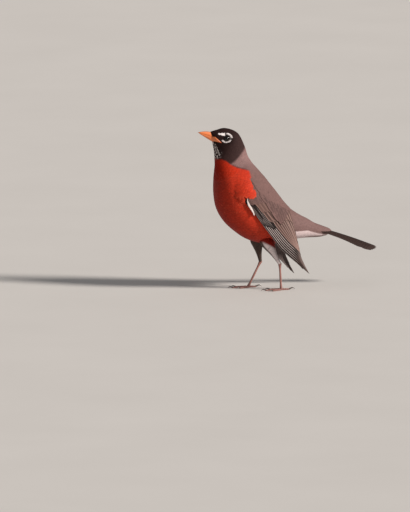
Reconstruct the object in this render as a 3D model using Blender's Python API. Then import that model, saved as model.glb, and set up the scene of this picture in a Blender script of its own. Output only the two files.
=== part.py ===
"""American robin, life size: an alert adult standing on both feet, head up, wings drooped and tail low.

The bird faces -X with +Z up, so its left side is -Y. The origin lies on the floor under the middle of
its box. All sizes below are in millimetres, and put() turns them into metres.
"""

import math

import bmesh
import bpy
import numpy as np
from mathutils import Matrix, Vector
from mathutils.bvhtree import BVHTree

MM = 0.001
GAP = 0.3  # clearance between touching solids
LEFT, RIGHT = -1, 1

# The body is one smooth loft through these stations, from the base of the bill to the end of the tail
# coverts: the upper point (x, z), the lower point (x, z), the half width, and how far the widest line
# sits above (+) or below (-) the middle of the section.
STATIONS = {
    "bill_base": ((-98.6, 193.0), (-95.6, 183.0), 3.1, 0.0),
    "face": ((-95.4, 194.0), (-94.8, 178.6), 5.2, 0.1),
    "forehead": ((-89.8, 195.2), (-94.0, 173.8), 7.4, 0.2),
    "crown": ((-78.8, 196.8), (-93.2, 167.6), 9.3, 0.25),
    "occiput": ((-64.2, 190.8), (-92.6, 160.8), 12.6, 0.15),
    "nape": ((-55.4, 175.4), (-92.2, 152.4), 13.3, 0.0),
    "hindneck": ((-50.8, 162.2), (-92.6, 143.0), 16.9, -0.12),
    "shoulder": ((-43.2, 150.4), (-92.8, 131.6), 23.4, -0.1),
    "mantle": ((-32.2, 134.2), (-92.6, 116.6), 28.0, 0.0),
    "back": ((-20.6, 120.0), (-89.4, 99.8), 29.4, 0.0),
    "midback": ((-8.8, 106.2), (-80.8, 84.6), 29.0, -0.05),
    "lowback": ((3.8, 95.6), (-67.0, 71.4), 27.0, -0.1),
    "rump": ((15.4, 88.0), (-49.4, 60.4), 23.0, -0.1),
    "vent": ((25.8, 82.4), (-24.0, 54.4), 17.6, 0.0),
    "tail_coverts": ((34.0, 77.2), (2.0, 58.2), 13.4, 0.0),
    "tail_base": ((43.2, 73.4), (20.0, 59.8), 10.0, 0.0),
    "covert_end": ((52.8, 69.6), (38.6, 59.8), 6.8, 0.0),
    "covert_tip": ((55.4, 67.4), (47.0, 61.0), 3.8, 0.0),
}
SECTION_FULLNESS = 0.92  # 1 is an ellipse, less is squarer at the sides

# Each part of the trunk runs from one station to the next name in this list.
BODY_PARTS = {
    "head": ("bill_base", "nape"),
    "neck": ("nape", "shoulder"),
    "breast": ("shoulder", "midback"),
    "belly": ("midback", "vent"),
    "rump": ("vent", "covert_tip"),
}

EYE = (-80.6, 10.4, 185.9)  # the side of the face there: x, distance from the midline, z
EYE_RADIUS, EYE_BULGE = 4.3, 1.3  # how far the ball stands out of the face

BILL_BASE = (-90.0, 184.4)
BILL_TIP = (-114.2, 192.7)
BILL_WIDTH, UPPER_HEIGHT, LOWER_HEIGHT = 4.6, 5.6, 5.4  # half width and heights at the base

# The wing's two long edges, from the shoulder to the tip: the share of its length, then (x, y, z) of
# the left wing. Where the trunk lies under it, the wing is lifted clear of the trunk.
LEADING_EDGE = (
    (0.00, (-63.0, -23.0, 129.0)),
    (0.10, (-65.2, -27.0, 112.0)),
    (0.23, (-54.6, -29.5, 98.0)),
    (0.38, (-42.4, -29.5, 81.6)),
    (0.52, (-30.5, -28.5, 66.3)),
    (0.65, (-19.0, -27.5, 51.3)),
    (0.76, (-7.5, -27.0, 41.0)),
    (0.86, (3.2, -26.5, 32.2)),
    (1.00, (17.2, -25.5, 18.0)),
)
TRAILING_EDGE = (
    (0.00, (-52.0, -19.0, 146.0)),
    (0.07, (-38.0, -10.0, 137.0)),
    (0.21, (-24.0, -8.0, 120.0)),
    (0.35, (-14.0, -10.0, 105.0)),
    (0.47, (-5.0, -16.0, 92.0)),
    (0.57, (-0.4, -22.0, 79.0)),
    (0.67, (2.2, -25.5, 66.0)),
    (0.76, (4.6, -26.5, 54.5)),
    (0.85, (7.6, -26.5, 41.5)),
    (0.93, (12.6, -26.0, 30.5)),
    (1.00, (18.8, -25.5, 19.2)),
)
WING_CAMBER = 3.0
WING_CLEARANCE = 0.8  # between the trunk and the inner face
WING_DROOP = {LEFT: 0.0, RIGHT: 6.0}  # how much lower the tip hangs
COVERTS_END = (0.30, 0.40)  # shares of the wing's length at its leading and trailing edges
GREATER_END = (0.44, 0.56)
PRIMARY_STRIP = 0.30  # share of the wing's breadth
TERTIAL_END = 0.88
WING_THICKNESS = {"scapulars": 2.3, "greater_coverts": 1.9, "secondaries": 1.4, "primaries": 1.0}

TAIL_BASE, TAIL_TIP = (38.0, 72.2), (113.4, 45.4)
TAIL_HALF_WIDTH = (9.2, 13.2)
TAIL_DROP = (3.2, 8.0)  # how far the sides hang below the middle
TAIL_THICKNESS = 1.6
TAIL_ROUNDING = 0.20  # how much shorter the outermost feathers are, as a share of the length
TAIL_PARTS = {"tail_left": (-1.0, -0.26), "tail_centre": (-0.26, 0.26), "tail_right": (0.26, 1.0)}

# Each leg: hip, hock and foot as (x, z), and their distances from the midline.
LEGS = {
    LEFT: {"hip": (-31.0, 60.0), "hock": (-15.6, 31.6), "foot": (-14.2, 0.0)},
    RIGHT: {"hip": (-35.0, 60.0), "hock": (-28.2, 30.8), "foot": (-44.0, 0.0)},
}
HIP_Y, HOCK_Y, FOOT_Y = 15.0, 16.5, 17.5
THIGH_RADII = (10.0, 8.2, 5.3, 3.1, 1.9)
TARSUS_SHARES = np.array([0.0, 0.12, 0.5, 0.88, 1.0])
TARSUS_RADII = (1.9, 1.35, 1.2, 1.4, 2.0)
# Each toe: angle from straight ahead (positive outwards), its root's distance out from under the leg
# and to the side, length, root radius and claw length.
TOES = {
    "inner_toe": (-22.0, (2.4, -2.7), 11.5, 1.15, 5.0),
    "middle_toe": (0.0, (2.4, 0.0), 17.5, 1.2, 5.6),
    "outer_toe": (22.0, (2.4, 2.7), 12.5, 1.1, 4.6),
    "hind_toe": (180.0, (3.2, 0.0), 7.5, 1.25, 7.0),
}

COLOURS = {
    "head": (0.020, 0.014, 0.015),
    "breast": (0.40, 0.055, 0.022),
    "back": (0.155, 0.125, 0.118),
    "wing": (0.105, 0.080, 0.070),
    "flight": (0.040, 0.030, 0.028),
    "white": (0.70, 0.66, 0.62),
    "bill": (0.68, 0.22, 0.045),
    "leg": (0.19, 0.095, 0.075),
    "claw": (0.030, 0.020, 0.017),
    "eye": (0.008, 0.005, 0.004),
}
ROUGHNESS = {"bill": 0.42, "leg": 0.5, "claw": 0.4, "eye": 0.06}


def clear_scene():
    for obj in list(bpy.data.objects):
        bpy.data.objects.remove(obj)


def material(colour):
    found = bpy.data.materials.get(colour)
    if found:
        return found
    made = bpy.data.materials.new(colour)
    made.use_nodes = True
    shader = made.node_tree.nodes["Principled BSDF"]
    shader.inputs["Base Color"].default_value = (*COLOURS[colour], 1)
    shader.inputs["Roughness"].default_value = ROUGHNESS.get(colour, 0.75)
    return made


def put(name, points, faces, colour):
    """A named object from points in millimetres, with its faces turned outwards."""
    mesh = bpy.data.meshes.new(name)
    mesh.from_pydata((np.asarray(points) * MM).tolist(), [], faces)
    shape = bmesh.new()
    shape.from_mesh(mesh)
    bmesh.ops.recalc_face_normals(shape, faces=shape.faces)
    shape.to_mesh(mesh)
    shape.free()
    mesh.shade_smooth()
    obj = bpy.data.objects.new(name, mesh)
    bpy.context.scene.collection.objects.link(obj)
    mesh.materials.append(material(colour))
    return obj


def cut(obj, cutter):
    """Takes the cutter's volume away from the object."""
    cutter.hide_render = True
    cutter.display_type = "WIRE"
    boolean = obj.modifiers.new("cut", "BOOLEAN")
    boolean.operation = "DIFFERENCE"
    boolean.solver = "EXACT"
    boolean.object = cutter


def curve_through(knots, values, at):
    """A smooth cubic through the values at the knots: each slope is that of its two neighbours."""
    knots, values, at = np.asarray(knots, float), np.asarray(values, float), np.asarray(at, float)
    slopes = np.gradient(values, knots, axis=0)
    k = np.clip(np.searchsorted(knots, at, side="right") - 1, 0, len(knots) - 2)
    span = knots[k + 1] - knots[k]
    f = (at - knots[k]) / span
    if values.ndim > 1:
        f, span = f[..., None], span[..., None]
    rise = values[k] * (2 * f**3 - 3 * f**2 + 1) + values[k + 1] * (3 * f**2 - 2 * f**3)
    lean = slopes[k] * (f**3 - 2 * f**2 + f) + slopes[k + 1] * (f**3 - f**2)
    return rise + lean * span


def tube_faces(rings, sides):
    """Quads round a tube of rings, and a flat face on each end."""
    faces = []
    for i in range(rings - 1):
        for j in range(sides):
            k = (j + 1) % sides
            faces.append((i * sides + j, i * sides + k, (i + 1) * sides + k, (i + 1) * sides + j))
    faces.append(tuple(range(sides))[::-1])
    faces.append(tuple(range((rings - 1) * sides, rings * sides)))
    return faces


# ---- head, neck and trunk: one loft, parted by thin flat cuts ----

NAMES = list(STATIONS)
RINGS = np.arange(0, len(NAMES) - 0.75, 0.5)
BODY_SIDES = 28


def body_points(u, v):
    """The body's surface at station number u and angle v, 0 along the back and pi along the belly.

    A section is upright along its own upper-to-lower line: middle + half height * cos v, and out to the
    side by half width * sin v, raised to the fullness, with the widest line shifted by the last value.
    """
    rows = np.array([(*a, *b, width, shift) for a, b, width, shift in STATIONS.values()])
    row = curve_through(np.arange(len(rows)), rows, np.asarray(u, float))
    upper, lower, width, shift = row[..., 0:2], row[..., 2:4], row[..., 4], row[..., 5]
    rise, side = np.cos(v), np.sin(v)
    middle = (upper + lower) / 2
    flat = middle + (upper - lower) / 2 * rise[..., None]
    out = width * np.sign(side) * np.abs(side) ** SECTION_FULLNESS * (1 + shift * rise)
    return np.stack([flat[..., 0], out, flat[..., 1]], axis=-1)


def body_mesh(stations, sides, lift=0.0):
    """Rings of the loft at these station numbers, moved out along the surface by lift."""
    u, v = np.meshgrid(stations, np.linspace(0, 2 * math.pi, sides, endpoint=False), indexing="ij")
    points = body_points(u, v)
    if lift:
        step = 1e-3
        along = body_points(u + step, v) - body_points(u - step, v)
        around = body_points(u, v + step) - body_points(u, v - step)
        normal = np.cross(along, around)
        length = np.linalg.norm(normal, axis=-1, keepdims=True)
        points = points + lift * normal / np.maximum(length, 1e-9)
    return points.reshape(-1, 3), tube_faces(len(stations), sides)


def make_body():
    colours = {"head": "head", "neck": "back", "breast": "breast", "belly": "breast", "rump": "back"}
    half_gap = 0.013  # as a share of the distance between stations
    for name, (first, last) in BODY_PARTS.items():
        stations = RINGS[(RINGS >= NAMES.index(first)) & (RINGS <= NAMES.index(last))]
        stations[0] += half_gap if stations[0] else 0
        stations[-1] -= half_gap
        put(name, *body_mesh(stations, BODY_SIDES), colours[name])


def body_cutter():
    """The whole loft, larger all round by the gap and a little longer at both ends."""
    longer = np.concatenate([[-0.12], RINGS[1:-1], [RINGS[-1] + 0.06]])
    return put("body_cutter", *body_mesh(longer, BODY_SIDES, GAP), "back")


def body_tree():
    points, faces = body_mesh(RINGS, BODY_SIDES)
    return BVHTree.FromPolygons([Vector(p) for p in points], faces)


# ---- eyes: balls let into sockets in the head ----


def ball(name, centre, radius, colour):
    """A ball, made by Blender's own sphere."""
    obj = put(name, [], [], colour)
    shape = bmesh.new()
    place = Matrix.Translation(Vector(centre) * MM)
    bmesh.ops.create_uvsphere(shape, u_segments=16, v_segments=10, radius=radius * MM, matrix=place)
    shape.to_mesh(obj.data)
    shape.free()
    return obj


def make_eyes():
    head = bpy.data.objects["head"]
    for side, word in ((LEFT, "left"), (RIGHT, "right")):
        centre = (EYE[0], side * (EYE[1] + EYE_BULGE - EYE_RADIUS), EYE[2])
        ball(f"eye_{word}", centre, EYE_RADIUS, "eye")
        cut(head, ball(f"socket_{word}", centre, EYE_RADIUS + GAP, "eye"))


# ---- bill: two mandibles that meet along the line of the mouth ----


def mandible(name, half_width, height, upward, reach):
    """One half of the bill: half an ellipse in section, tapering along a gently bowed line to the tip.

    The flat side lies on the line of the mouth. Height falls off as 1 - share^2.1, so that the ridge
    stays high until near the tip, and width as 1 - share^0.75.
    """
    rings, sides = 12, 9
    share = np.linspace(0, reach, rings)
    base, tip = np.array(BILL_BASE), np.array(BILL_TIP)
    axis = (tip - base) / np.linalg.norm(tip - base)
    up = np.array([axis[1], -axis[0]]) * (1 if upward else -1)
    fall = 1 - share**2.1 * 0.93
    narrow = 1 - share**0.75 * 0.9
    bow = 0.9 * np.sin(math.pi * share**1.3)  # the whole bill arches slightly upwards
    points = []
    for s, tall, thin, arch in zip(share, fall, narrow, bow):
        line = base + (tip - base) * s + np.array([axis[1], -axis[0]]) * arch
        for angle in np.linspace(0, math.pi, sides):
            lift = GAP / 2 + height * tall * math.sin(angle) ** 0.9
            side = half_width * thin * math.cos(angle)
            x, z = line + up * lift
            points.append((x, side, z))
    return put(name, points, tube_faces(rings, sides), "bill")


def make_bill(cutter):
    for name, height, upward, reach in (
        ("bill_upper", UPPER_HEIGHT, True, 1.0),
        ("bill_lower", LOWER_HEIGHT, False, 0.93),
    ):
        cut(mandible(name, BILL_WIDTH, height, upward, reach), cutter)


# ---- wings: four overlapping groups of feathers, each a shell that lies over the trunk ----


def edge(points, share, droop):
    """A long edge of the wing, lowered towards its tip by droop times the square of the share."""
    place = curve_through([k for k, _ in points], [p for _, p in points], share)
    place[..., 2] -= droop * share**2
    return place


def wing_surface(tree, s, t, droop):
    """The wing's inner face at share s of its length and t of its breadth, and the outward direction.

    A straight line from the leading to the trailing edge, bowed out by the camber, is lifted outwards
    until it clears the trunk by the gap.
    """
    low, high = edge(LEADING_EDGE, s, droop), edge(TRAILING_EDGE, s, droop)
    flat = low + (high - low) * t[..., None]
    on_back = 0.8 * t**1.5 * np.clip((0.68 - s) / 0.25, 0, 1)
    out = np.stack([0.76 * on_back, -np.sqrt(1 - on_back**2), 0.65 * on_back], axis=-1)
    flat = flat + out * (WING_CAMBER * np.sin(math.pi * t))[..., None]
    far = 60.0
    lift = np.zeros(s.shape)
    for index in np.ndindex(s.shape):
        start = Vector(flat[index] + out[index] * far)
        hit = tree.ray_cast(start, Vector(-out[index]))
        over = far - hit[3] + WING_CLEARANCE if hit[0] else -far
        lift[index] = (over + math.sqrt(over**2 + 1.0)) / 2
    return flat + out * lift[..., None], out


def shell(name, inner, outer, colour):
    """A closed shell between two grids of points."""
    rows, columns = inner.shape[:2]
    count = rows * columns

    def at(i, j, layer):
        return layer * count + i * columns + j

    faces = []
    for i in range(rows - 1):
        for j in range(columns - 1):
            faces.append((at(i, j, 0), at(i, j + 1, 0), at(i + 1, j + 1, 0), at(i + 1, j, 0)))
            faces.append((at(i, j, 1), at(i + 1, j, 1), at(i + 1, j + 1, 1), at(i, j + 1, 1)))
    rim = [(i, 0) for i in range(rows)] + [(rows - 1, j) for j in range(1, columns)]
    rim += [(i, columns - 1) for i in range(rows - 2, -1, -1)] + [(0, j) for j in range(columns - 2, 0, -1)]
    for (i, j), (k, m) in zip(rim, rim[1:] + rim[:1]):
        faces.append((at(i, j, 0), at(k, m, 0), at(k, m, 1), at(i, j, 1)))
    points = np.vstack([inner.reshape(-1, 3), outer.reshape(-1, 3)])
    return put(name, points, faces, colour)


def strip_edge(s):
    """The share of the breadth at which the primaries' strip ends: all of it beyond the tertials."""
    start = GREATER_END[0]
    f = np.clip((s - start) / (TERTIAL_END - start), 0, 1)
    return PRIMARY_STRIP + (1 - PRIMARY_STRIP) * f**2.2


def wing_patches():
    """Each feather group's grid of (s, t), with its row and column counts."""
    slip = 0.0012  # half a gap, as a share of the wing's length

    def rows_between(first, last, rows, columns):
        t = np.linspace(0, 1, columns)[None, :]
        a = first[0] + (first[1] - first[0]) * t
        b = last[0] + (last[1] - last[0]) * t
        f = np.linspace(0, 1, rows)[:, None]
        return a + slip + (b - a - 2 * slip) * f, np.broadcast_to(t, (rows, columns)).copy()

    yield "scapulars", rows_between((0.0, 0.0), COVERTS_END, 9, 10)
    yield "greater_coverts", rows_between(COVERTS_END, GREATER_END, 5, 10)
    breadth_slip = 0.008
    t = np.linspace(0, 1, 6)[None, :]
    f = np.linspace(0, 1, 9)[:, None]
    start = GREATER_END[0] + (GREATER_END[1] - GREATER_END[0]) * (PRIMARY_STRIP + (1 - PRIMARY_STRIP) * t)
    s = start + slip + (TERTIAL_END - 0.01 - start - slip) * f
    first = strip_edge(s) + breadth_slip
    yield "secondaries", (s, np.minimum(first + (1 - first) * t, 1.0))
    t = np.linspace(0, 1, 5)[None, :]
    f = np.linspace(0, 1, 14)[:, None]
    begin = GREATER_END[0] + (GREATER_END[1] - GREATER_END[0]) * PRIMARY_STRIP * t + slip
    s = begin + (1 - begin) * f
    yield "primaries", (s, strip_edge(s) * t)


def make_wing(tree, side, word):
    colours = {"scapulars": "back", "greater_coverts": "wing", "secondaries": "wing", "primaries": "flight"}
    for group, (s, t) in wing_patches():
        inner, out = wing_surface(tree, s, t, WING_DROOP[side])
        outer = inner + out * (WING_THICKNESS[group] * (1 - 0.4 * t**2))[..., None]
        mirror = np.array([1, -side, 1])
        shell(f"wing_{word}_{group}", inner * mirror, outer * mirror, colours[group])


# ---- tail: twelve feathers in three groups, closed into a shallow roof ----


def make_tail(cutter):
    for name, (first, last) in TAIL_PARTS.items():
        along = np.linspace(0, 1, 7)[:, None]
        across = np.linspace(first, last, 5)[None, :]
        half = TAIL_HALF_WIDTH[0] + (TAIL_HALF_WIDTH[1] - TAIL_HALF_WIDTH[0]) * along**0.8
        drop = TAIL_DROP[0] + (TAIL_DROP[1] - TAIL_DROP[0]) * along
        slip = np.where(across == first, GAP / 2, 0) - np.where(across == last, GAP / 2, 0)
        y = half * across + slip * (np.abs(across) < 0.99)
        end = 1 - TAIL_ROUNDING * np.abs(across) ** 3 * along
        x = TAIL_BASE[0] + (TAIL_TIP[0] - TAIL_BASE[0]) * along * end
        z = TAIL_BASE[1] + (TAIL_TIP[1] - TAIL_BASE[1]) * along * end + 1.2 * np.sin(math.pi * along)
        top = np.stack([x + 0 * y, y, z - drop * across**2], axis=-1)
        under = top - np.array([0, 0, TAIL_THICKNESS])
        cut(shell(name, under, top, "flight"), cutter)


# ---- legs ----


def limb_rings(path, radii, sides):
    """Round rings along a path, each square to it, and never below the floor."""
    path = np.asarray(path, float)
    forward = np.gradient(path, axis=0)
    forward /= np.linalg.norm(forward, axis=1, keepdims=True)
    across = np.cross(forward, (0, 1, 0))
    across /= np.linalg.norm(across, axis=1, keepdims=True)
    side = np.cross(across, forward)
    angle = np.linspace(0, 2 * math.pi, sides, endpoint=False)[:, None]
    round_ring = np.cos(angle) * across[:, None] + np.sin(angle) * side[:, None]
    rings = path[:, None] + np.asarray(radii)[:, None, None] * round_ring
    rings[..., 2] = np.maximum(rings[..., 2], 0)
    return rings, forward


def put_rings(name, rings, colour):
    return put(name, rings.reshape(-1, 3), tube_faces(*rings.shape[:2]), colour)


def make_leg(side, word, cutter):
    """The thigh and the bare tarsus share one path and meet at the hock on one slanting face."""
    leg = LEGS[side]
    hip = np.array([leg["hip"][0], side * HIP_Y, leg["hip"][1]])
    hock = np.array([leg["hock"][0], side * HOCK_Y, leg["hock"][1]])
    foot = np.array([leg["foot"][0], side * FOOT_Y, 0.0])
    thigh_share = np.linspace(0, 1, len(THIGH_RADII))[:, None]
    path = np.vstack([hip + (hock - hip) * thigh_share, hock + (foot - hock) * TARSUS_SHARES[1:, None]])
    rings, forward = limb_rings(path, THIGH_RADII + TARSUS_RADII[1:], 12)
    bend = len(THIGH_RADII) - 1
    thigh, tarsus = rings[: bend + 1].copy(), rings[bend:].copy()
    thigh[-1] -= forward[bend] * GAP / 2
    tarsus[0] += forward[bend] * GAP / 2
    tarsus[-1, :, 2] = 0
    cut(put_rings(f"thigh_{word}", thigh, "white"), cutter)
    put_rings(f"tarsus_{word}", tarsus, "leg")
    for name in TOES:
        make_toe(name, word, side, foot)


def make_toe(name, word, side, foot):
    """A toe lies along the floor on a narrow flat, and its claw arches from the end down to the floor."""
    turn, (out, aside), length, radius, claw_length = TOES[name]
    heading = math.radians(turn)
    ahead = np.array([-math.cos(heading), side * math.sin(heading), 0.0])
    sideways = np.array([-ahead[1], ahead[0], 0.0])
    start = foot + np.array([-out * math.cos(heading), side * aside, 0.0])

    def sweep(reach, height, wide, tall, sides):
        """Rings across the toe's line at these distances, heights, and half widths and heights."""
        angle = np.linspace(0, 2 * math.pi, sides, endpoint=False)
        rings = start + ahead * reach[:, None, None] + sideways * (wide[:, None] * np.cos(angle))[..., None]
        rings[..., 2] = np.maximum(height[:, None] + tall[:, None] * np.sin(angle), 0)
        return rings

    share = np.linspace(0, 1, 7)
    r = radius * (1 - 0.3 * share) * (1 + 0.1 * np.cos(6 * math.pi * share))
    put_rings(f"{name}_{word}", sweep(length * share, 0.82 * r, r, r, 8), "leg")
    share = np.linspace(0, 1, 6)
    r = 0.62 * radius * (1 - 0.84 * share)
    reach = length + GAP + claw_length * np.sin(0.42 * math.pi * share) / math.sin(0.42 * math.pi)
    height = 0.95 * radius + 0.2 * claw_length * np.sin(math.pi * share) - 0.87 * radius * share**2
    put_rings(f"{name.replace('toe', 'claw')}_{word}", sweep(reach, height, 0.8 * r, 1.15 * r, 6), "claw")


def main():
    clear_scene()
    make_body()
    make_eyes()
    cutter = body_cutter()
    make_bill(cutter)
    make_tail(cutter)
    tree = body_tree()
    for side, word in ((LEFT, "left"), (RIGHT, "right")):
        make_wing(tree, side, word)
        make_leg(side, word, cutter)


main()
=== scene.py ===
"""American robin, life size and still: an alert adult on both feet, head up, wings drooped, tail low.

The bird faces -X with +Z up, so its left side is -Y, and the floor is z = 0. Sizes are in millimetres
until a mesh is written, which turns them into metres. One body, "root", carries every piece.
"""

import math

import bpy
import numpy as np
from mathutils import Matrix, Vector
from mathutils.bvhtree import BVHTree


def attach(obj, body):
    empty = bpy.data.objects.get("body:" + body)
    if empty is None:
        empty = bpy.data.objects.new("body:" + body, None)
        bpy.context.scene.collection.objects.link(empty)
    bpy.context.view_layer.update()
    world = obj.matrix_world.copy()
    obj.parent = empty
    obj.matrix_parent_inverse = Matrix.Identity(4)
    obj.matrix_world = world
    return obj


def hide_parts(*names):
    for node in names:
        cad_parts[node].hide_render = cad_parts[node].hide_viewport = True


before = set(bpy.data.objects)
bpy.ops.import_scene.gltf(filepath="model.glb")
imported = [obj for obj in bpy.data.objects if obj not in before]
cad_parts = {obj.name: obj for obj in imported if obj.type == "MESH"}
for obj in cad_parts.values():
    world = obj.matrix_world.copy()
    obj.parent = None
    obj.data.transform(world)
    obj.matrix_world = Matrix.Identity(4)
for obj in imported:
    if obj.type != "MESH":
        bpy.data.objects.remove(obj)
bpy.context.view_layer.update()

# ---- view ----
# The camera stands off the bird's left flank, 20 degrees round towards its front and 8 degrees above it.
# It is far away and has a long lens, so that the bird is seen almost without perspective.

MM = 0.001
TURN, RISE = math.radians(20), math.radians(8)
VIEW_HEIGHT, CAMERA_DISTANCE = 614.4, 20000.0  # how much the view's height takes in at the bird
AIM_RIGHT, AIM_UP = -98.64, 37.92  # the view's middle, from the origin
right = np.array([math.cos(TURN), -math.sin(TURN), 0.0])
above = np.array([math.sin(TURN) * math.sin(RISE), math.cos(TURN) * math.sin(RISE), math.cos(RISE)])
towards = np.cross(right, above)
aim = AIM_RIGHT * right + AIM_UP * above
axes = Matrix(np.column_stack([right, above, towards]).tolist()).to_4x4()
camera = bpy.data.objects.new("camera", bpy.data.cameras.new("camera"))
camera.data.lens = camera.data.sensor_width * CAMERA_DISTANCE / VIEW_HEIGHT
camera.data.clip_end = 5 * CAMERA_DISTANCE * MM
camera.matrix_world = Matrix.Translation(Vector((aim + CAMERA_DISTANCE * towards) * MM)) @ axes
bpy.context.scene.collection.objects.link(camera)
bpy.context.scene.camera = camera

# ---- light ----
# One broad soft key comes from behind the bird on its left, 30 degrees up, and an even pale surround
# fills, so that the front of the breast and the belly fall into soft shade.

KEY_FROM, KEY_COLOUR = (0.67, -0.58, 0.50), (1.0, 0.93, 0.87)
KEY_STRENGTH, KEY_SOFTNESS = 4.5, math.radians(11)
SURROUND, SURROUND_STRENGTH = (0.92, 0.90, 0.92, 1), 0.28
key = bpy.data.objects.new("key_light", bpy.data.lights.new("key_light", "SUN"))
key.data.energy, key.data.angle, key.data.color = KEY_STRENGTH, KEY_SOFTNESS, KEY_COLOUR
key.rotation_euler = Vector(KEY_FROM).to_track_quat("Z", "Y").to_euler()
bpy.context.scene.collection.objects.link(key)
world = bpy.data.worlds.new("surround")
world.use_nodes = True
world.node_tree.nodes["Background"].inputs["Color"].default_value = SURROUND
world.node_tree.nodes["Background"].inputs["Strength"].default_value = SURROUND_STRENGTH
bpy.context.scene.world = world
bpy.context.scene.view_settings.view_transform = "Standard"

# ---- floor ----
# A plain pale studio floor of painted board, with a faint mottle. It lies a hair below the feet, which
# stand at z = 0.


class Shade:
    """A shader socket that adds and multiplies like a number; each such step adds one node."""

    def __init__(self, tree, socket=None):
        self.tree, self.socket = tree, socket

    def node(self, kind, sockets=(), output=0, **settings):
        """A new node of this kind: its settings are set first, then its sockets' values or links."""
        made = self.tree.nodes.new("ShaderNode" + kind)
        for name, value in settings.items():
            setattr(made, name, value)
        for name, value in dict(sockets).items():
            if isinstance(value, Shade):
                self.tree.links.new(value.socket, made.inputs[name])
            else:
                made.inputs[name].default_value = value
        return Shade(self.tree, made.outputs[output])

    def worked(self, operation, first, second):
        """Math on numbers, or Vector Math where either side is a vector or a colour."""
        flat = [not isinstance(x, tuple) and getattr(getattr(x, "socket", None), "type", "VALUE") == "VALUE"
                for x in (first, second)]
        if all(flat):
            return self.node("Math", {0: first, 1: second}, operation=operation)
        sides = [(x,) * 3 if isinstance(x, (int, float)) else x for x in (first, second)]
        return self.node("VectorMath", {0: sides[0], 1: sides[1]}, operation=operation)

    def __add__(self, other):
        return self.worked("ADD", self, other)

    def __radd__(self, other):
        return self.worked("ADD", other, self)

    def __mul__(self, other):
        return self.worked("MULTIPLY", self, other)

    def __rmul__(self, other):
        return self.worked("MULTIPLY", other, self)

    def blend(self, none, full):
        """The colour none where this mask is 0, and full where it is 1."""
        return self.node("Mix", {0: self, 6: none, 7: full}, 2, data_type="RGBA")

    def band(self, low, high):
        """0 below low, 1 above high, with a smooth rise between."""
        return self.node("MapRange", {0: self, 1: low, 2: high}, interpolation_type="SMOOTHSTEP")

    def noise(self, scale, detail=2.0, roughness=0.5):
        """Noise on this vector."""
        sockets = {"Vector": self, "Scale": scale, "Detail": detail, "Roughness": roughness}
        return self.node("TexNoise", sockets)

    def relief(self, strength, distance):
        """The normal that this height gives, by a bump of so many metres."""
        return self.node("Bump", {"Height": self, "Strength": strength, "Distance": distance})


def finish_of(name, **uniform):
    """A material, its Principled shader and a Shade to build on; uniform values go on the shader."""
    made = bpy.data.materials.new(name)
    made.use_nodes = True
    shader = made.node_tree.nodes["Principled BSDF"]
    for word, value in uniform.items():
        shader.inputs[word.replace("_", " ").title().replace("Ior", "IOR")].default_value = value
    return made, shader, Shade(made.node_tree)


def feed(shader, socket, value):
    """Links a worked-out value to one of the shader's sockets."""
    value.tree.links.new(value.socket, shader.inputs[socket])


def put_mesh(name, points, faces, finish):
    """A smooth object from a grid of points in millimetres and an array of faces of four corners."""
    mesh = bpy.data.meshes.new(name)
    mesh.vertices.add(points.size // 3)
    mesh.vertices.foreach_set("co", (points * MM).ravel())
    mesh.loops.add(faces.size)
    mesh.loops.foreach_set("vertex_index", faces.astype(np.int32).ravel())
    mesh.polygons.add(len(faces))
    mesh.polygons.foreach_set("loop_start", np.arange(0, faces.size, 4, dtype=np.int32))
    mesh.update(calc_edges=True)
    mesh.shade_smooth()
    mesh.materials.append(finish)
    obj = bpy.data.objects.new(name, mesh)
    bpy.context.scene.collection.objects.link(obj)
    return obj


FLOOR_HALF, FLOOR_GAP = 15000.0, 0.05
board, shader, made = finish_of("pale_board", roughness=0.75, specular_ior_level=0.25)
mottle = made.node("TexCoord", output=3).noise(6.0, 3.0)
feed(shader, "Base Color", mottle.blend((0.60, 0.585, 0.56, 1), (0.65, 0.635, 0.61, 1)))
corners = np.array([(-1, -1, 0), (1, -1, 0), (1, 1, 0), (-1, 1, 0)]) * FLOOR_HALF - (0, 0, FLOOR_GAP)
put_mesh("floor", corners, np.array([[0, 1, 2, 3]]), board)

# ---- skin ----
# The bird's skin, from the base of the bill to the root of the tail, lies under the feathers by the
# depth of the coat. It shows only as a dark or coloured ground between them, so it has their markings.

# Upper point (x, z), lower point (x, z), half width, how far the widest line sits above the middle,
# and the coat's depth, at the bill, face, forehead, crown, occiput, nape, hindneck, shoulder, mantle,
# back, middle and lower back, rump, vent, tail coverts, tail's base, and the coverts' end and tip.
FORM = np.array([
    (-98.6, 193.0, -95.6, 183.0, 3.1, 0.0, 0.30),
    (-95.4, 194.0, -94.8, 178.6, 5.2, 0.1, 0.45),
    (-89.8, 195.2, -94.0, 173.8, 7.4, 0.2, 0.60),
    (-78.8, 196.8, -93.2, 167.6, 9.3, 0.25, 0.80),
    (-64.2, 190.8, -92.6, 160.8, 12.6, 0.15, 1.10),
    (-55.4, 175.4, -92.2, 152.4, 13.3, 0.0, 1.40),
    (-50.8, 162.2, -92.6, 143.0, 16.9, -0.12, 1.80),
    (-43.2, 150.4, -92.8, 131.6, 23.4, -0.1, 2.10),
    (-32.2, 134.2, -92.6, 116.6, 28.0, 0.0, 2.30),
    (-20.6, 120.0, -89.4, 99.8, 29.4, 0.0, 2.30),
    (-8.8, 106.2, -80.8, 84.6, 29.0, -0.05, 2.40),
    (3.8, 95.6, -67.0, 71.4, 27.0, -0.1, 2.40),
    (15.4, 88.0, -49.4, 60.4, 23.0, -0.1, 2.30),
    (25.8, 82.4, -24.0, 54.4, 17.6, 0.0, 2.10),
    (34.0, 77.2, 2.0, 58.2, 13.4, 0.0, 1.80),
    (43.2, 73.4, 20.0, 59.8, 10.0, 0.0, 1.40),
    (52.8, 69.6, 38.6, 59.8, 6.8, 0.0, 1.00),
    (55.4, 67.4, 47.0, 61.0, 3.8, 0.0, 0.60),
])
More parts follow.
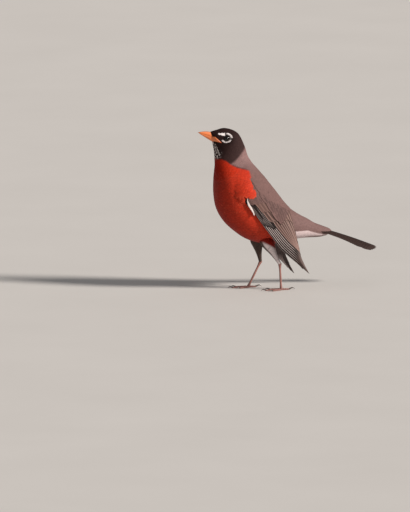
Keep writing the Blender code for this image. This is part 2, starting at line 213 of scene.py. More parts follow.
LAST = len(FORM) - 1
FULLNESS = 0.92  # below 1 makes a section squarer than an ellipse
ROUND = 2 * math.pi


def curve_through(knots, values, at):
    """A smooth cubic through the values at the knots: each slope is that of its two neighbours."""
    knots, values, at = np.asarray(knots, float), np.asarray(values, float), np.asarray(at, float)
    slopes = np.gradient(values, knots, axis=0)
    k = np.clip(np.searchsorted(knots, at, side="right") - 1, 0, len(knots) - 2)
    span = knots[k + 1] - knots[k]
    f = (at - knots[k]) / span
    if values.ndim > 1:
        f, span = f[..., None], span[..., None]
    rise = values[k] * (2 * f**3 - 3 * f**2 + 1) + values[k + 1] * (3 * f**2 - 2 * f**3)
    lean = slopes[k] * (f**3 - 2 * f**2 + f) + slopes[k + 1] * (f**3 - f**2)
    return rise + lean * span


def outer_form(u, v):
    """The feathered outline at station u and angle v, 0 along the back and pi along the belly.

    Each section is upright along its upper-to-lower line: middle + half height * cos v, and to the side
    by half width * sin v, raised to the fullness, with the widest line shifted.
    """
    row = curve_through(np.arange(len(FORM)), FORM, np.clip(u, -0.3, LAST + 0.2))
    rise, side = np.cos(v), np.sin(v)
    middle = (row[..., 0:2] + row[..., 2:4]) / 2
    flat = middle + (row[..., 0:2] - row[..., 2:4]) / 2 * rise[..., None]
    out = row[..., 4] * np.sign(side) * np.abs(side) ** FULLNESS * (1 + row[..., 5] * rise)
    return np.stack([flat[..., 0], out, flat[..., 1]], axis=-1), row[..., 6]


def form_frame(u, v):
    """The outline's point, its steps along u and round v, its outward normal, and the coat's depth."""
    step = 4e-3
    point, depth = outer_form(u, v)
    along = (outer_form(u + step, v)[0] - outer_form(u - step, v)[0]) / (2 * step)
    around = (outer_form(u, v + step)[0] - outer_form(u, v - step)[0]) / (2 * step)
    normal = np.cross(along, around)
    normal /= np.maximum(np.linalg.norm(normal, axis=-1, keepdims=True), 1e-9)
    return point, along, around, normal, depth


def on_form(u, v, height):
    """The point that stands height above the skin, which lies the coat's depth inside the outline."""
    point, _, _, normal, depth = form_frame(u, v)
    return point + normal * (height - depth)[..., None]


def degrees_from_back(v):
    """An angle round the body as degrees from the line of the back, the same on both sides."""
    return np.degrees(np.arccos(np.clip(np.cos(v), -1, 1)))


# Markings, as linear colours.
HOOD, HOOD_WARM = (0.0195, 0.0085, 0.0078), (0.040, 0.0205, 0.0195)
# The deep brick is partly a deeper red and partly painted shade for the lower sides and belly.
BRICK, BRICK_DEEP_AND_SHADE = (0.52, 0.030, 0.0085), (0.25, 0.0095, 0.003)
MANTLE, RUMP_GREY, NECK_GREY = (0.156, 0.087, 0.079), (0.178, 0.105, 0.098), (0.218, 0.130, 0.124)
# The vent's white is dimmed by painted shade, and the grey under the tail's base is darkened further by
# painted shade.
WHITE, VENT_WHITE_IN_SHADE, UNDERTAIL_AND_SHADE = (0.80, 0.70, 0.67), (0.62, 0.50, 0.50), (0.22, 0.15, 0.14)
FACE_WHITE = (0.93, 0.86, 0.85)
# Where the black hood ends: the station at each angle from the back, in degrees.
HOOD_ANGLES = (0, 40, 56, 68, 83, 96, 104, 110, 118, 132, 145, 166, 180)
HOOD_ENDS = (5.08, 5.21, 5.28, 5.38, 5.49, 5.55, 5.58, 5.40, 5.02, 4.62, 4.36, 4.09, 3.95)
# Where the grey of the back ends: the angle at each station. From 7 to 8.9 it follows the rear rim of
# the breast's side, which lies over the bend of the wing.
GREY_STATIONS, GREY_ENDS = np.array([
    (5.0, 112), (5.56, 106), (6.08, 91), (6.38, 81), (6.65, 72), (6.96, 64), (7.4, 70), (7.7, 77), (8.0, 80),
    (8.9, 79), (10.0, 70), (11.0, 78), (12.0, 92), (13.0, 83), (14.0, 77), (15.5, 98), (17.2, 112),
]).T
# Where the white of the vent starts: x at each height.
VENT_HEIGHTS, VENT_STARTS = (52, 60, 68, 80), (-18, -13, -8, 4)
EYE = np.array([-80.6, 10.4, 185.9])
RING_HALF_LENGTH, RING_HALF_HEIGHT = 5.8, 4.9
# Each arc of the ring, in degrees: its middle, counted up from straight back, and how far from there it
# has faded out and is still full.
RING_ARCS = ((44, 52, 40), (273, 72, 54))


def rise_between(value, low, high):
    """0 below low and 1 above high, with a smooth rise."""
    f = np.clip((value - low) / (high - low), 0, 1)
    return f * f * (3 - 2 * f)


def tinted(base, mask, colour):
    """Mixes a colour over the base by a mask."""
    base = np.asarray(base)
    return base + (np.asarray(colour) - base) * mask[..., None]


def eye_marks(x, z):
    """How white the face is round the eye, in the side view.

    Two arcs lie about an ellipse round the eye, drawn out a little towards the bill below it. A streak
    runs from over the eye towards the bill, where it thins, with a wavy border.
    """
    dz = z - EYE[2] - 0.2
    dx = x - EYE[0] + 0.8 * (dz < 0)
    ring = np.hypot(dx / RING_HALF_LENGTH, dz / RING_HALF_HEIGHT)
    around = np.degrees(np.arctan2(dz, dx)) % 360
    arcs = np.max([rise_between(np.abs((around - middle + 180) % 360 - 180), reach, full)
                   for middle, reach, full in RING_ARCS], axis=0)
    arcs = arcs * rise_between(np.abs(ring - 1), 0.22, 0.12)
    along = x + 86.8
    spread = 0.95 + 0.16 * along + 0.25 * np.sin(1.7 * along)
    lores = rise_between(np.abs(z - 190.6 + 0.12 * along), spread + 0.5, spread)
    return np.maximum(arcs, lores * rise_between(np.abs(along - 0.3), 4.4, 3.4))


def markings(u, v, point):
    """The plumage's colour at a place on the body.

    Below the line where the grey of the back ends it is brick red, darker towards the belly's middle,
    partly a deeper red and partly painted shade. From the vent back it is white dimmed by painted
    shade, with a grey underside to the tail's base that painted shade darkens further. The black hood
    ends at its own line and has a dark seam along the red. A white chin, and the marks round the eye,
    lie over it.
    """
    turn = degrees_from_back(v)
    x, z = point[..., 0], point[..., 2]
    ends = np.interp(u, GREY_STATIONS, GREY_ENDS)
    start = np.interp(z, VENT_HEIGHTS, VENT_STARTS)
    pale = rise_between(x, start - 3, start + 3)
    # Painted shade, with some deeper red: the red darkens from the sides down to the belly's middle.
    red = tinted(BRICK, rise_between(turn, 104, 172), BRICK_DEEP_AND_SHADE)
    # Painted shade: the white of the vent is a dimmed white.
    red = tinted(red, pale, VENT_WHITE_IN_SHADE)
    grey = tinted(NECK_GREY, rise_between(u, 6.0, 7.6), MANTLE)
    grey = tinted(grey, rise_between(u, 10.5, 12.5), RUMP_GREY)
    colour = tinted(grey, rise_between(turn, ends - 3, ends + 3), red)
    # The grey under the tail's base is partly the coverts' own grey centres and partly painted shade.
    under = rise_between(63.5 - z, 0, 2.5) * rise_between(x, 14, 30) * rise_between(turn, ends - 2, ends + 4)
    colour = tinted(colour, pale * under, UNDERTAIL_AND_SHADE)
    hood = rise_between(np.interp(turn, HOOD_ANGLES, HOOD_ENDS) - u, -0.12, 0.14)
    colour = tinted(colour, hood, tinted(HOOD, rise_between(u, 3.2, 5.2), HOOD_WARM))
    seam = np.exp(-(((turn - ends + 1.5) / 2.2) ** 2)) * rise_between(u, 5.5, 5.9)
    colour = tinted(colour, 0.75 * seam * rise_between(7.0 - u, 0, 0.4), HOOD)
    chin = rise_between(turn, 150, 162) * rise_between(1.4 - u, 0, 0.5)
    colour = tinted(colour, 0.9 * chin, WHITE)
    face = rise_between(6.0 - u, 0, 0.5) * (np.abs(np.sin(v)) > 0.3)
    return tinted(colour, eye_marks(x, z) * face, FACE_WHITE)


def keep_values(obj, name, kind, field, values):
    """Keeps one value for each vertex under a name that the materials read."""
    obj.data.attributes.new(name, kind, "POINT").data.foreach_set(field, np.asarray(values, float).ravel())


def keep_tint(obj, colours):
    """Keeps each vertex's colour under the name tint."""
    opaque = np.ones(colours.shape[:-1] + (1,))
    keep_values(obj, "tint", "FLOAT_COLOR", "color", np.concatenate([colours, opaque], axis=-1))


def unwrap(obj, place):
    """The OFBake map: each vertex's place on the unwrap."""
    corners = np.empty(len(obj.data.loops), np.int32)
    obj.data.loops.foreach_get("vertex_index", corners)
    uv = place.reshape(-1, 2)[corners]
    obj.data.uv_layers.new(name="OFBake").data.foreach_set("uv", uv.astype(float).ravel())


def round_grid(along, sides):
    """A grid of these values along a tube, by so many angles round it."""
    return np.meshgrid(along, np.linspace(0, ROUND, sides, endpoint=False), indexing="ij")


def wrapped_faces(rows, columns):
    """Quads of a tube of rows rings with columns points each, facing out where u x v does."""
    i, j = np.meshgrid(np.arange(rows - 1), np.arange(columns), indexing="ij")
    k = (j + 1) % columns
    corners = (i * columns + j, (i + 1) * columns + j, (i + 1) * columns + k, i * columns + k)
    return np.stack(corners, axis=-1).reshape(-1, 4)


def drawn_in(rings, share):
    """The rings of a tube (row, column, xyz) with the first and last drawn in to this share of their size."""
    rings = rings.copy()
    for end in (0, -1):
        middle = rings[end].mean(axis=0)
        rings[end] = middle + (rings[end] - middle) * share
    return rings


def unwrapped(u, v):
    """A place on the body's unwrap: the turn across and the station up."""
    return np.stack([0.05 + 0.9 * (v / ROUND % 1), 0.05 + 0.9 * u / LAST], axis=-1)


SKIN_ROWS, SKIN_SIDES = 220, 120
u, v = round_grid(np.linspace(0, LAST, SKIN_ROWS), SKIN_SIDES)
hide, shader, made = finish_of("skin_ground", roughness=0.9, specular_ior_level=0.2)
down = made.node("TexCoord", output=3).noise(900.0, 3.0)
feed(shader, "Base Color", made.node("Attribute", attribute_name="tint") * (0.62 + 0.5 * down))
skin = put_mesh("skin", drawn_in(on_form(u, v, 0.0), 0.01), wrapped_faces(SKIN_ROWS, SKIN_SIDES), hide)
keep_tint(skin, markings(u, v, outer_form(u, v)[0]))
unwrap(skin, unwrapped(u, v))
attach(skin, "root")
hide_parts("head", "neck", "breast", "belly", "rump")

# ---- wings: the surface that the folded feathers lie on ----
# Each folded wing is a bowed fan laid against the side of the trunk. Its two long edges run from the
# shoulder to the tip; the right wing droops a little lower than the left.

# Share of the length, then (x, y, z) of the left wing.
LEADING = np.array([
    (0.00, -63.0, -23.0, 129.0), (0.10, -65.2, -27.0, 112.0), (0.23, -54.6, -29.5, 98.0),
    (0.38, -42.4, -29.5, 81.6), (0.52, -30.5, -28.5, 66.3), (0.65, -19.0, -27.5, 51.3),
    (0.76, -7.5, -27.0, 41.0), (0.86, 3.2, -26.5, 32.2), (1.00, 17.2, -25.5, 18.0),
])
TRAILING = np.array([
    (0.00, -52.0, -19.0, 146.0), (0.07, -38.0, -10.0, 137.0), (0.21, -24.0, -8.0, 120.0),
    (0.35, -14.0, -10.0, 105.0), (0.47, -5.0, -16.0, 92.0), (0.57, -0.4, -22.0, 79.0),
    (0.67, 2.2, -25.5, 66.0), (0.76, 4.6, -26.5, 54.5), (0.85, 7.6, -26.5, 41.5),
    (0.93, 12.6, -26.0, 30.5), (1.00, 18.8, -25.5, 19.2),
])
CAMBER, CLEARANCE, WING_THICK = 3.0, 0.8, 2.3
DROOP = {"left": 0.0, "right": 6.0}
SIDES = {"left": -1, "right": 1}
MIRROR = {word: np.array([1, -side, 1]) for word, side in SIDES.items()}
GUIDE_ROWS, GUIDE_COLUMNS = 41, 21
FINE_ROWS, FINE_COLUMNS = 201, 101


def outline_tree(last):
    """The outline from the bill to a station, ready for rays to be cast at it."""
    rows, sides = 120, 96
    points = outer_form(*round_grid(np.linspace(0, last, rows), sides))[0]
    return BVHTree.FromPolygons(points.reshape(-1, 3).tolist(), wrapped_faces(rows, sides).tolist())


def depth_under(tree, points, out, far, missed):
    """How far each point lies under the tree's surface, by a ray that comes in from far out.

    Where the ray meets nothing, the value is missed.
    """
    pairs = zip(points.reshape(-1, 3), np.broadcast_to(out, points.shape).reshape(-1, 3))
    hits = [tree.ray_cast(Vector(p + d * far), Vector(-d))[3] for p, d in pairs]
    return np.array([missed if hit is None else far - hit for hit in hits]).reshape(points.shape[:-1])


def wing_guide(trunk, droop):
    """The wing's inner face and outward direction on a fine grid of its length and breadth.

    A straight line from edge to edge, bowed out by the camber, is lifted outwards until it clears the
    trunk; the tip hangs lower by droop times the square of the share.
    """
    s, t = np.meshgrid(np.linspace(0, 1, GUIDE_ROWS), np.linspace(0, 1, GUIDE_COLUMNS), indexing="ij")
    low, high = (curve_through(edge[:, 0], edge[:, 1:], s) for edge in (LEADING, TRAILING))
    flat = low + (high - low) * t[..., None] - np.array([0, 0, 1]) * (droop * s**2)[..., None]
    on_back = 0.8 * t**1.5 * np.clip((0.68 - s) / 0.25, 0, 1)
    out = np.stack([0.76 * on_back, -np.sqrt(1 - on_back**2), 0.65 * on_back], axis=-1)
    flat = flat + out * (CAMBER * np.sin(math.pi * t))[..., None]
    over = depth_under(trunk, flat, out, 60.0, -60.0) + CLEARANCE
    flat = flat + out * ((over + np.sqrt(over**2 + 1)) / 2)[..., None]
    both = np.concatenate([flat, out], axis=-1).reshape(GUIDE_ROWS, -1)
    fine = curve_through(np.linspace(0, 1, GUIDE_ROWS), both, np.linspace(0, 1, FINE_ROWS))
    fine = fine.reshape(FINE_ROWS, GUIDE_COLUMNS, 6).transpose(1, 0, 2).reshape(GUIDE_COLUMNS, -1)
    fine = curve_through(np.linspace(0, 1, GUIDE_COLUMNS), fine, np.linspace(0, 1, FINE_COLUMNS))
    return fine.reshape(FINE_COLUMNS, FINE_ROWS, 6).transpose(1, 0, 2)


def on_grid(grid, a, b):
    """The values of a grid at these places, counted in its rows and columns, between its points."""
    i = np.clip(np.floor(a).astype(int), 0, grid.shape[0] - 2)
    j = np.clip(np.floor(b).astype(int), 0, grid.shape[1] - 2)
    f, g = (a - i)[..., None], (b - j)[..., None]
    near = grid[i, j] * (1 - f) + grid[i + 1, j] * f
    far = grid[i, j + 1] * (1 - f) + grid[i + 1, j + 1] * f
    return near * (1 - g) + far * g


def on_wing(guide, s, t):
    """The inner face's point and outward direction at these shares of the length and the breadth."""
    found = on_grid(guide, np.clip(s, 0, 1) * (FINE_ROWS - 1), np.clip(t, -0.1, 1.1) * (FINE_COLUMNS - 1))
    return found[..., :3], found[..., 3:] / np.linalg.norm(found[..., 3:], axis=-1, keepdims=True)


def vane_faces(count, rows, columns):
    """Quads of count grids of rows by columns points, facing out where row x column does."""
    i, j = np.meshgrid(np.arange(rows - 1), np.arange(columns - 1), indexing="ij")
    corners = (i * columns + j, (i + 1) * columns + j, (i + 1) * columns + j + 1, i * columns + j + 1)
    one = np.stack(corners, axis=-1).reshape(1, -1, 4)
    return (np.arange(count)[:, None, None] * rows * columns + one).reshape(-1, 4)


trunk = outline_tree(LAST)
wings = {word: wing_guide(trunk, droop) for word, droop in DROOP.items()}
WING_BREADTH = np.linalg.norm(wings["left"][:, -1, :3] - wings["left"][:, 0, :3], axis=-1)

# A table of how far the wings' outer faces stand over the outline, by station and turn.
RISE_FIRST, RISE_STEP, RISE_ROWS, RISE_SIDES = 4.0, 0.1, 121, 180
RISE_REACH = 6  # how far around itself the table is smoothed, in steps


def rises_over_wings():
    """How far the wings' outer faces stand over the outline, by station and turn: smoothed, and as it is.

    In the smoothed table each value is the largest of those near it, and then the mean of those, so
    that the table slopes up before the wing's edge and clears it.
    """
    u, v = round_grid(RISE_FIRST + RISE_STEP * np.arange(RISE_ROWS), RISE_SIDES)
    point, _, _, normal, _ = form_frame(u, v)
    bare = np.zeros(u.shape)
    for word, guide in wings.items():
        face = (guide[..., :3] + guide[..., 3:] * WING_THICK) * MIRROR[word]
        quads = vane_faces(1, FINE_ROWS, FINE_COLUMNS)
        tree = BVHTree.FromPolygons(face.reshape(-1, 3).tolist(), quads.tolist())
        bare = np.maximum(bare, depth_under(tree, point, normal, 12.0, 0.0))
    steps = [(a, b) for a in range(-RISE_REACH, RISE_REACH + 1) for b in range(-RISE_REACH, RISE_REACH + 1)
             if a * a + b * b <= RISE_REACH**2 + 1]
    grown = np.max([np.roll(bare, step, axis=(0, 1)) for step in steps], axis=0)
    return np.mean([np.roll(grown, step, axis=(0, 1)) for step in steps], axis=0), bare


smooth_rise, bare_rise = rises_over_wings()


def over_wing(table, u, v):
    """The table's value at a station and turn."""
    wrapped = np.concatenate([table, table[:, :1]], axis=1)[..., None]
    row = np.clip((u - RISE_FIRST) / RISE_STEP, 0, RISE_ROWS - 1.01)
    return on_grid(wrapped, row, v / ROUND % 1 * RISE_SIDES)[..., 0]


# ---- small feathers of the head, neck and trunk ----
# Contour feathers are small curved vanes, rooted in the skin, that lie back over each other like tiles.
# Their tips fray into separate barbs, which is what makes the coat look soft.

PATCH = 0.003  # a small vane's width on the unwrap
PLASTIC = 1.32471795724  # the plastic number: its first two powers spread points evenly over a square


def plumage(name, fleck, streaks, sheen, rough, gloss=0.2):
    """A feather finish: the colour kept on each vane, streaked by its barbs, with the barbs as relief."""
    finish, shader, made = finish_of(
        name, roughness=rough, sheen_weight=sheen, sheen_roughness=0.55, specular_ior_level=gloss
    )
    place = made.node("Attribute", attribute_name="vane", output=1)
    barbs = (place * streaks).noise(1.0, 2.0, 0.6)
    tint = made.node("Attribute", attribute_name="tint")
    feed(shader, "Base Color", tint * (1.0 - fleck + 2.0 * fleck * barbs))
    feed(shader, "Normal", barbs.relief(0.3, 0.0002))
    return finish


def put_vanes(name, points, tint, place, spot, finish, slot):
    """One piece from an array of vanes (vane, row, column, xyz), with their places on the unwrap.

    place is (across, along, own number).
    """
    made = put_mesh(name, points, vane_faces(*points.shape[:3]), finish)
    keep_tint(made, np.clip(tint, 0, 1))
    keep_values(made, "vane", "FLOAT_VECTOR", "vector", place)
    unwrap(made, spot)
    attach(made, "root")
    return made


def patches(middle, place):
    """Places on the unwrap for small vanes: each is a little patch about the middle given for it."""
    return middle[:, None, None] + np.stack([place[..., 0] / 2, place[..., 1] - 0.5], axis=-1) * PATCH


def scattered(spacing, first, last, start):
    """Roots (u, v) spread evenly between two stations, the closer the smaller the spacing at u is.

    An additive sequence on the unit square is bent so that every stretch of u, and every part of the
    turn in it, gets roots in proportion to its area over the square of the spacing.
    """
    us, vs = np.linspace(first, last, 260), np.linspace(0, ROUND, 241)
    u, v = np.meshgrid(us, vs, indexing="ij")
    _, along, around, _, _ = form_frame(u, v)
    wanted = np.linalg.norm(np.cross(along, around), axis=-1) / np.interp(u, *spacing) ** 2
    rows = np.concatenate([[0], np.cumsum((wanted[1:] + wanted[:-1]).mean(axis=1) / 2)])
    k = np.arange(int(rows[-1] * (us[1] - us[0]) * ROUND))
    u = np.interp((start + k / PLASTIC) % 1 * rows[-1], rows, us)
    turns = np.cumsum(wanted, axis=1)
    turns = np.concatenate([np.zeros((len(us), 1)), turns], axis=1) / turns[:, -1:]
    at = np.clip((u - first) / (last - first) * (len(us) - 1), 0, len(us) - 1.001)
    low, f = at.astype(int), (at % 1)[:, None]
    table = turns[low] * (1 - f) + turns[low + 1] * f
    share = (start + k / PLASTIC**2) % 1
    j = np.clip((table <= share[:, None]).sum(axis=1) - 1, 0, len(vs) - 1)
    here, there = table[k, j], table[k, j + 1]
    v = (j + (share - here) / np.maximum(there - here, 1e-12)) * (vs[1] - vs[0])
    return u, v % ROUND


def vane_breadth(t, closing, closed):
    """A small vane's breadth along it: it swells over the first third, and past closing it closes in."""
    return np.minimum(1, 0.4 + 0.6 * t / 0.35) * (1 - closed * rise_between(t, closing, 1.0))


def body_vanes(u, v, length, seed, rows, columns, turn, ragged, rides=0.0):
    """Vanes that follow the form from roots (u, v), with their places: arrays for put_vanes.

    A vane is 0.62 of its length broad, and its tip row zigzags. Its height over the skin climbs fast
    from just under it at the root, flattens at the coat's depth, and dips at the tip and the rims into
    the vanes below. Where it rides over a wing, the wing's rise over the outline is added.
    """
    rng = np.random.default_rng(seed)
    number = rng.random(len(u))
    _, along, around, _, depth = form_frame(u, v)
    step_u, step_v = (np.linalg.norm(a, axis=-1)[:, None, None] for a in (along, around))
    t = np.linspace(0, 1, rows)[None, :, None]
    c = np.linspace(-1, 1, columns)[None, None, :]
    width = 0.62 * length[:, None, None]
    teeth = np.where(np.arange(columns) % 2 == 0, -1, 1)
    jag = (teeth + 1.4 * (rng.random((len(u), rows, columns)) - 0.5)) * ragged * (t == 1)
    reach = length[:, None, None] * (t * (1 - 0.14 * c**2) + jag)
    aside = width / 2 * c * vane_breadth(t, 0.55, 0.62)
    lean = (turn + rng.normal(0, 0.10, len(u)))[:, None, None]
    at_u = u[:, None, None] + (reach * np.cos(lean) - aside * np.sin(lean)) / step_u
    at_v = v[:, None, None] + (reach * np.sin(lean) + aside * np.cos(lean)) / np.maximum(step_v, 1.5)
    at_u = np.minimum(at_u, LAST + 0.15)
    loose = (rng.random(len(u)) ** 2)[:, None, None]
    climb = 1.1 * (1 - (1 - t) ** 3.5) - 0.1 + 0.04 * loose * t - 0.075 * t**6
    height = climb * depth[:, None, None] - 0.10 * aside**2 / width
    height = height + np.reshape(rides, (-1, 1, 1)) * over_wing(smooth_rise, at_u, at_v)
    place = np.broadcast_arrays(c, t, number[:, None, None])
    return on_form(at_u, at_v, height), at_u, at_v, np.stack(place, axis=-1)


def vane_tints(base, place, seed, vary, fringe, fringe_colour, root_dark):
    """A vane's colours: its own shade, darker towards the root and paler along the fringe."""
    rng = np.random.default_rng(seed)
    own = 1 + vary * rng.normal(0, 1, (len(base), 1, 1, 1))
    along, across = place[..., 1:2], np.abs(place[..., 0:1])
    shade = own * (1 - root_dark * (1 - along) ** 1.5)
    edge = fringe * np.clip(rise_between(along, 0.7, 1.0) + 0.4 * rise_between(across, 0.7, 1.0), 0, 1)
    return base * shade * (1 - edge) + np.asarray(fringe_colour) * edge


# ---- head and neck feathers ----
# The head's feathers are the smallest, and shorter still round the eye, where they part above and below
# it. They leave the eye and the bare corner of the mouth free. The throat is streaked with white.

HEAD_SPACING = ((0, 1, 2.5, 4, 5.6, 6.4), (0.52, 0.60, 0.74, 0.88, 1.10, 1.25))
HEAD_LENGTH = ((0, 1.2, 3, 4.5, 6.3), (1.3, 1.9, 3.0, 4.4, 6.6))
HOOD_FRINGE = (0.10, 0.062, 0.060)
EYE_RADIUS, EYE_BULGE, EYE_HOLE = 4.3, 1.3, 4.0
EYE_STATION, EYE_TURN = 3.3, math.radians(70)
# The bare corner of the mouth, as upper and lower borders (x, z) of a wedge that runs back from the bill.
GAPE_UPPER = np.array([(-98.8, 193.0), (-94.4, 187.7), (-90.9, 184.2), (-87.2, 180.9)])
GAPE_LOWER = np.array([(-98.8, 184.6), (-96.4, 182.5), (-87.2, 179.9)])
_, _, _, eye_faces, _ = form_frame(np.array(EYE_STATION), np.array(ROUND - EYE_TURN))


def eye_axes(side):
    """The eye's axes on this side (-1 left): along the face, up it, and out of it, and the ball's middle."""
    out = eye_faces * (1, -side, 1)
    up = np.array([0.0, 0.0, 1.0]) - out[2] * out
    up /= np.linalg.norm(up)
    middle = EYE * (1, side, 1) + out * (EYE_BULGE - EYE_RADIUS)
    return np.cross(up, out), up, out, middle


def from_eye(points):
    """How far points lie from the axis of the eye on their own side."""
    sides = []
    for side in SIDES.values():
        _, _, out, middle = eye_axes(side)
        away = points - middle
        sides.append(np.linalg.norm(away - (away @ out)[..., None] * out, axis=-1))
    return np.where(points[..., 1] < 0, *sides)


def on_gape(points):
    """True where a point lies on the bare corner of the mouth, in the side view."""
    x, z = points[..., 0], points[..., 2]
    top = np.minimum(np.interp(x, *GAPE_UPPER.T) - 0.5, 187.4)
    return (x < -88.2) & (z > np.interp(x, *GAPE_LOWER.T) + 0.3) & (z < top)


velvet = plumage("hood_feathers", 0.22, (3.0, 4.0, 40.0), 0.01, 0.66, 0.06)
u, v = scattered(HEAD_SPACING, 0.0, 6.3, 0.5)
root = on_form(u, v, 0.0)
gap = from_eye(root) - EYE_RADIUS
on_cheek = np.abs(np.sin(v)) > 0.35
by_eye = on_cheek & (gap < 6)
length = np.interp(u, *HEAD_LENGTH)
length = np.where(by_eye, np.minimum(length, 1.2 + 0.45 * np.maximum(gap, 0)), length)
swerve = 0.9 * np.exp(-((gap / 3.0) ** 2)) * np.sign(root[:, 2] - EYE[2]) * np.where(np.sin(v) > 0, -1, 1)
swerve = np.where(by_eye & (root[:, 0] < EYE[0]), swerve, 0.0)
points, at_u, at_v, place = body_vanes(u, v, length, 11, 4, 5, swerve, 0.07)
free = ((from_eye(points) > EYE_HOLE) & ~on_gape(points)).all(axis=(1, 2)) | ~on_cheek
turn_down = degrees_from_back(v)
throat = rise_between(turn_down, 122, 138) * rise_between(u, 0.9, 1.6) * rise_between(4.1 - u, 0, 0.6)
stripe = (np.cos(24 * v + 1.6 * np.sin(2.3 * u)) > 0.15) * (place[:, 0, 0, 2] < 0.8) * throat
tone = tinted(markings(at_u, at_v, points), 0.85 * stripe[:, None, None], WHITE)
tone = vane_tints(tone, place, 12, 0.10, 0.08, HOOD_FRINGE, 0.15)
spot = patches(unwrapped(u, v), place)
put_vanes("head_feathers", points[free], tone[free], place[free], spot[free], velvet, "head_feathers")

# ---- breast, belly, mantle and rump ----
# The body's coat is soft and close. The red sides of the breast lie over the bend of the wing, and the
# mantle over its upper edge; what a folded wing hides has no feathers.

TRUNK_SPACING = ((5.4, 7, 9, 12, 14, 17.2), (1.15, 1.40, 1.60, 1.65, 1.45, 1.2))
TRUNK_LENGTH = ((5.5, 7, 9, 12, 14, 17), (6.5, 9.5, 11.5, 12.0, 10.5, 6.0))
RED_FRINGE = (0.66, 0.12, 0.06)
# The mantle ends at these degrees from the back by station, and the breast's side at these stations.
MANTLE_ENDS = ((7.0, 8.0, 9.0, 10.0), (70, 64, 52, 34))
SIDE_ENDS = ((64, 78, 88, 96, 104, 112), (8.3, 8.75, 8.85, 8.72, 8.45, 8.3))
silk = plumage("trunk_feathers", 0.16, (5.0, 3.0, 40.0), 0.04, 0.68, 0.12)
u, v = scattered(TRUNK_SPACING, 5.5, LAST - 0.1, 0.37)
turn_down = degrees_from_back(v)
mantle_end = np.interp(u, *MANTLE_ENDS)
on_mantle = (u < 10.2) & (turn_down < mantle_end)
on_side = (u < 8.9) & (turn_down >= mantle_end) & (turn_down < 112)
rides = np.where(on_side, 1 - rise_between(turn_down, 92, 106) * rise_between(u, 7.8, 8.5), on_mantle)
outward = np.where(on_mantle & (u > 7), 0.2, 0) * rise_between(turn_down, 8, 24) * np.sign(np.sin(v))
points, at_u, at_v, place = body_vanes(u, v, np.interp(u, *TRUNK_LENGTH), 21, 5, 7, outward, 0.03, rides)

# A vane is shown by where its tip is: a vane of the side that reaches the wing stays within the red's
# own edge there, and every other vane but the mantle's stays clear of the wing.
tip_u, tip_v = at_u[:, -1, 3], at_v[:, -1, 3]
side_on_wing = on_side & (over_wing(bare_rise, tip_u, tip_v) > 0.3)
in_red = tip_u < np.interp(degrees_from_back(tip_v), *SIDE_ENDS)
in_red = in_red & (degrees_from_back(tip_v) > np.interp(tip_u, GREY_STATIONS, GREY_ENDS) - 1)
hidden = over_wing(bare_rise, at_u, at_v).min(axis=(1, 2)) > 0.6
grey_part = turn_down < np.interp(u, GREY_STATIONS, GREY_ENDS)
shown = np.where(on_mantle, True, np.where(side_on_wing, in_red & ~grey_part, ~hidden))

# Where the coat lies over a wing, a vane has one colour; elsewhere it has the body's markings.
over_bend, over_edge = side_on_wing[:, None, None, None], (on_mantle & (u > 7))[:, None, None, None]
own_colour = markings(u, v, outer_form(u, v)[0])[:, None, None]
own_colour = np.where(over_edge, np.array(MANTLE), np.where(over_bend, np.array(BRICK), own_colour))
tone = np.where(over_bend | over_edge, own_colour, markings(at_u, at_v, points))
red_share = rise_between(own_colour[..., 0] - 1.8 * own_colour[..., 1], 0.03, 0.2)
fringe_colour = tinted(own_colour * 1.2, red_share, RED_FRINGE)
red_share = red_share[..., None]
tone = vane_tints(tone, place, 22, 0.045 + 0.055 * red_share, 0.12 + 0.30 * red_share, fringe_colour, 0.20)
spot = patches(unwrapped(u, v), place)
parts = (
    ("mantle_feathers", shown & grey_part & (u < 10.5), "back_feathers"),
    ("rump_feathers", shown & grey_part & (u >= 10.5), "back_feathers"),
    ("breast_coat", shown & ~grey_part & (u < 8.6), "breast_feathers"),
    ("belly_coat", shown & ~grey_part & (u >= 8.6), "breast_feathers"),
)
for name, part, slot in parts:
    put_vanes(name, points[part], tone[part], place[part], spot[part], silk, slot)

# ---- wing lining ----
# Under the flight feathers lies a soft lining that closes the wing from inside: orange-brown coverts by
# the shoulder and grey quills beyond. It is one thin sheet on the wing's inner face. Painted shadow makes
# it black along one edge and by the shoulder along the other, and the two change places on the right
# wing.

BLACK = (0.010, 0.0060, 0.0055)
COLUMNS = {"left": slice(None), "right": slice(None, None, -1)}  # turned round, so that faces point out
LINING_ORANGE, LINING_GREY = (0.42, 0.115, 0.045), (0.10, 0.075, 0.07)
FEATHER_THICK = 0.10


def side_by_side(place):
    """Places on the unwrap for large feathers: each has a strip of it, as long as the whole."""
    count = len(place)
    strip = (np.arange(count)[:, None, None] + 0.5 + 0.45 * place[..., 0]) / count
    return np.stack([strip, 0.02 + 0.96 * place[..., 1]], axis=-1)


def thicken(made, thickness):
    """Gives a sheet this thickness in millimetres, inwards from the face that shows."""
    thick = made.modifiers.new("thickness", "SOLIDIFY")
    thick.thickness, thick.offset = thickness * MM, -1.0


down_lining = plumage("wing_lining", 0.2, (30.0, 4.0, 10.0), 0.05, 0.7)
s, t = np.meshgrid(np.linspace(0.03, 0.93, 90), np.linspace(0.01, 0.985, 24), indexing="ij")
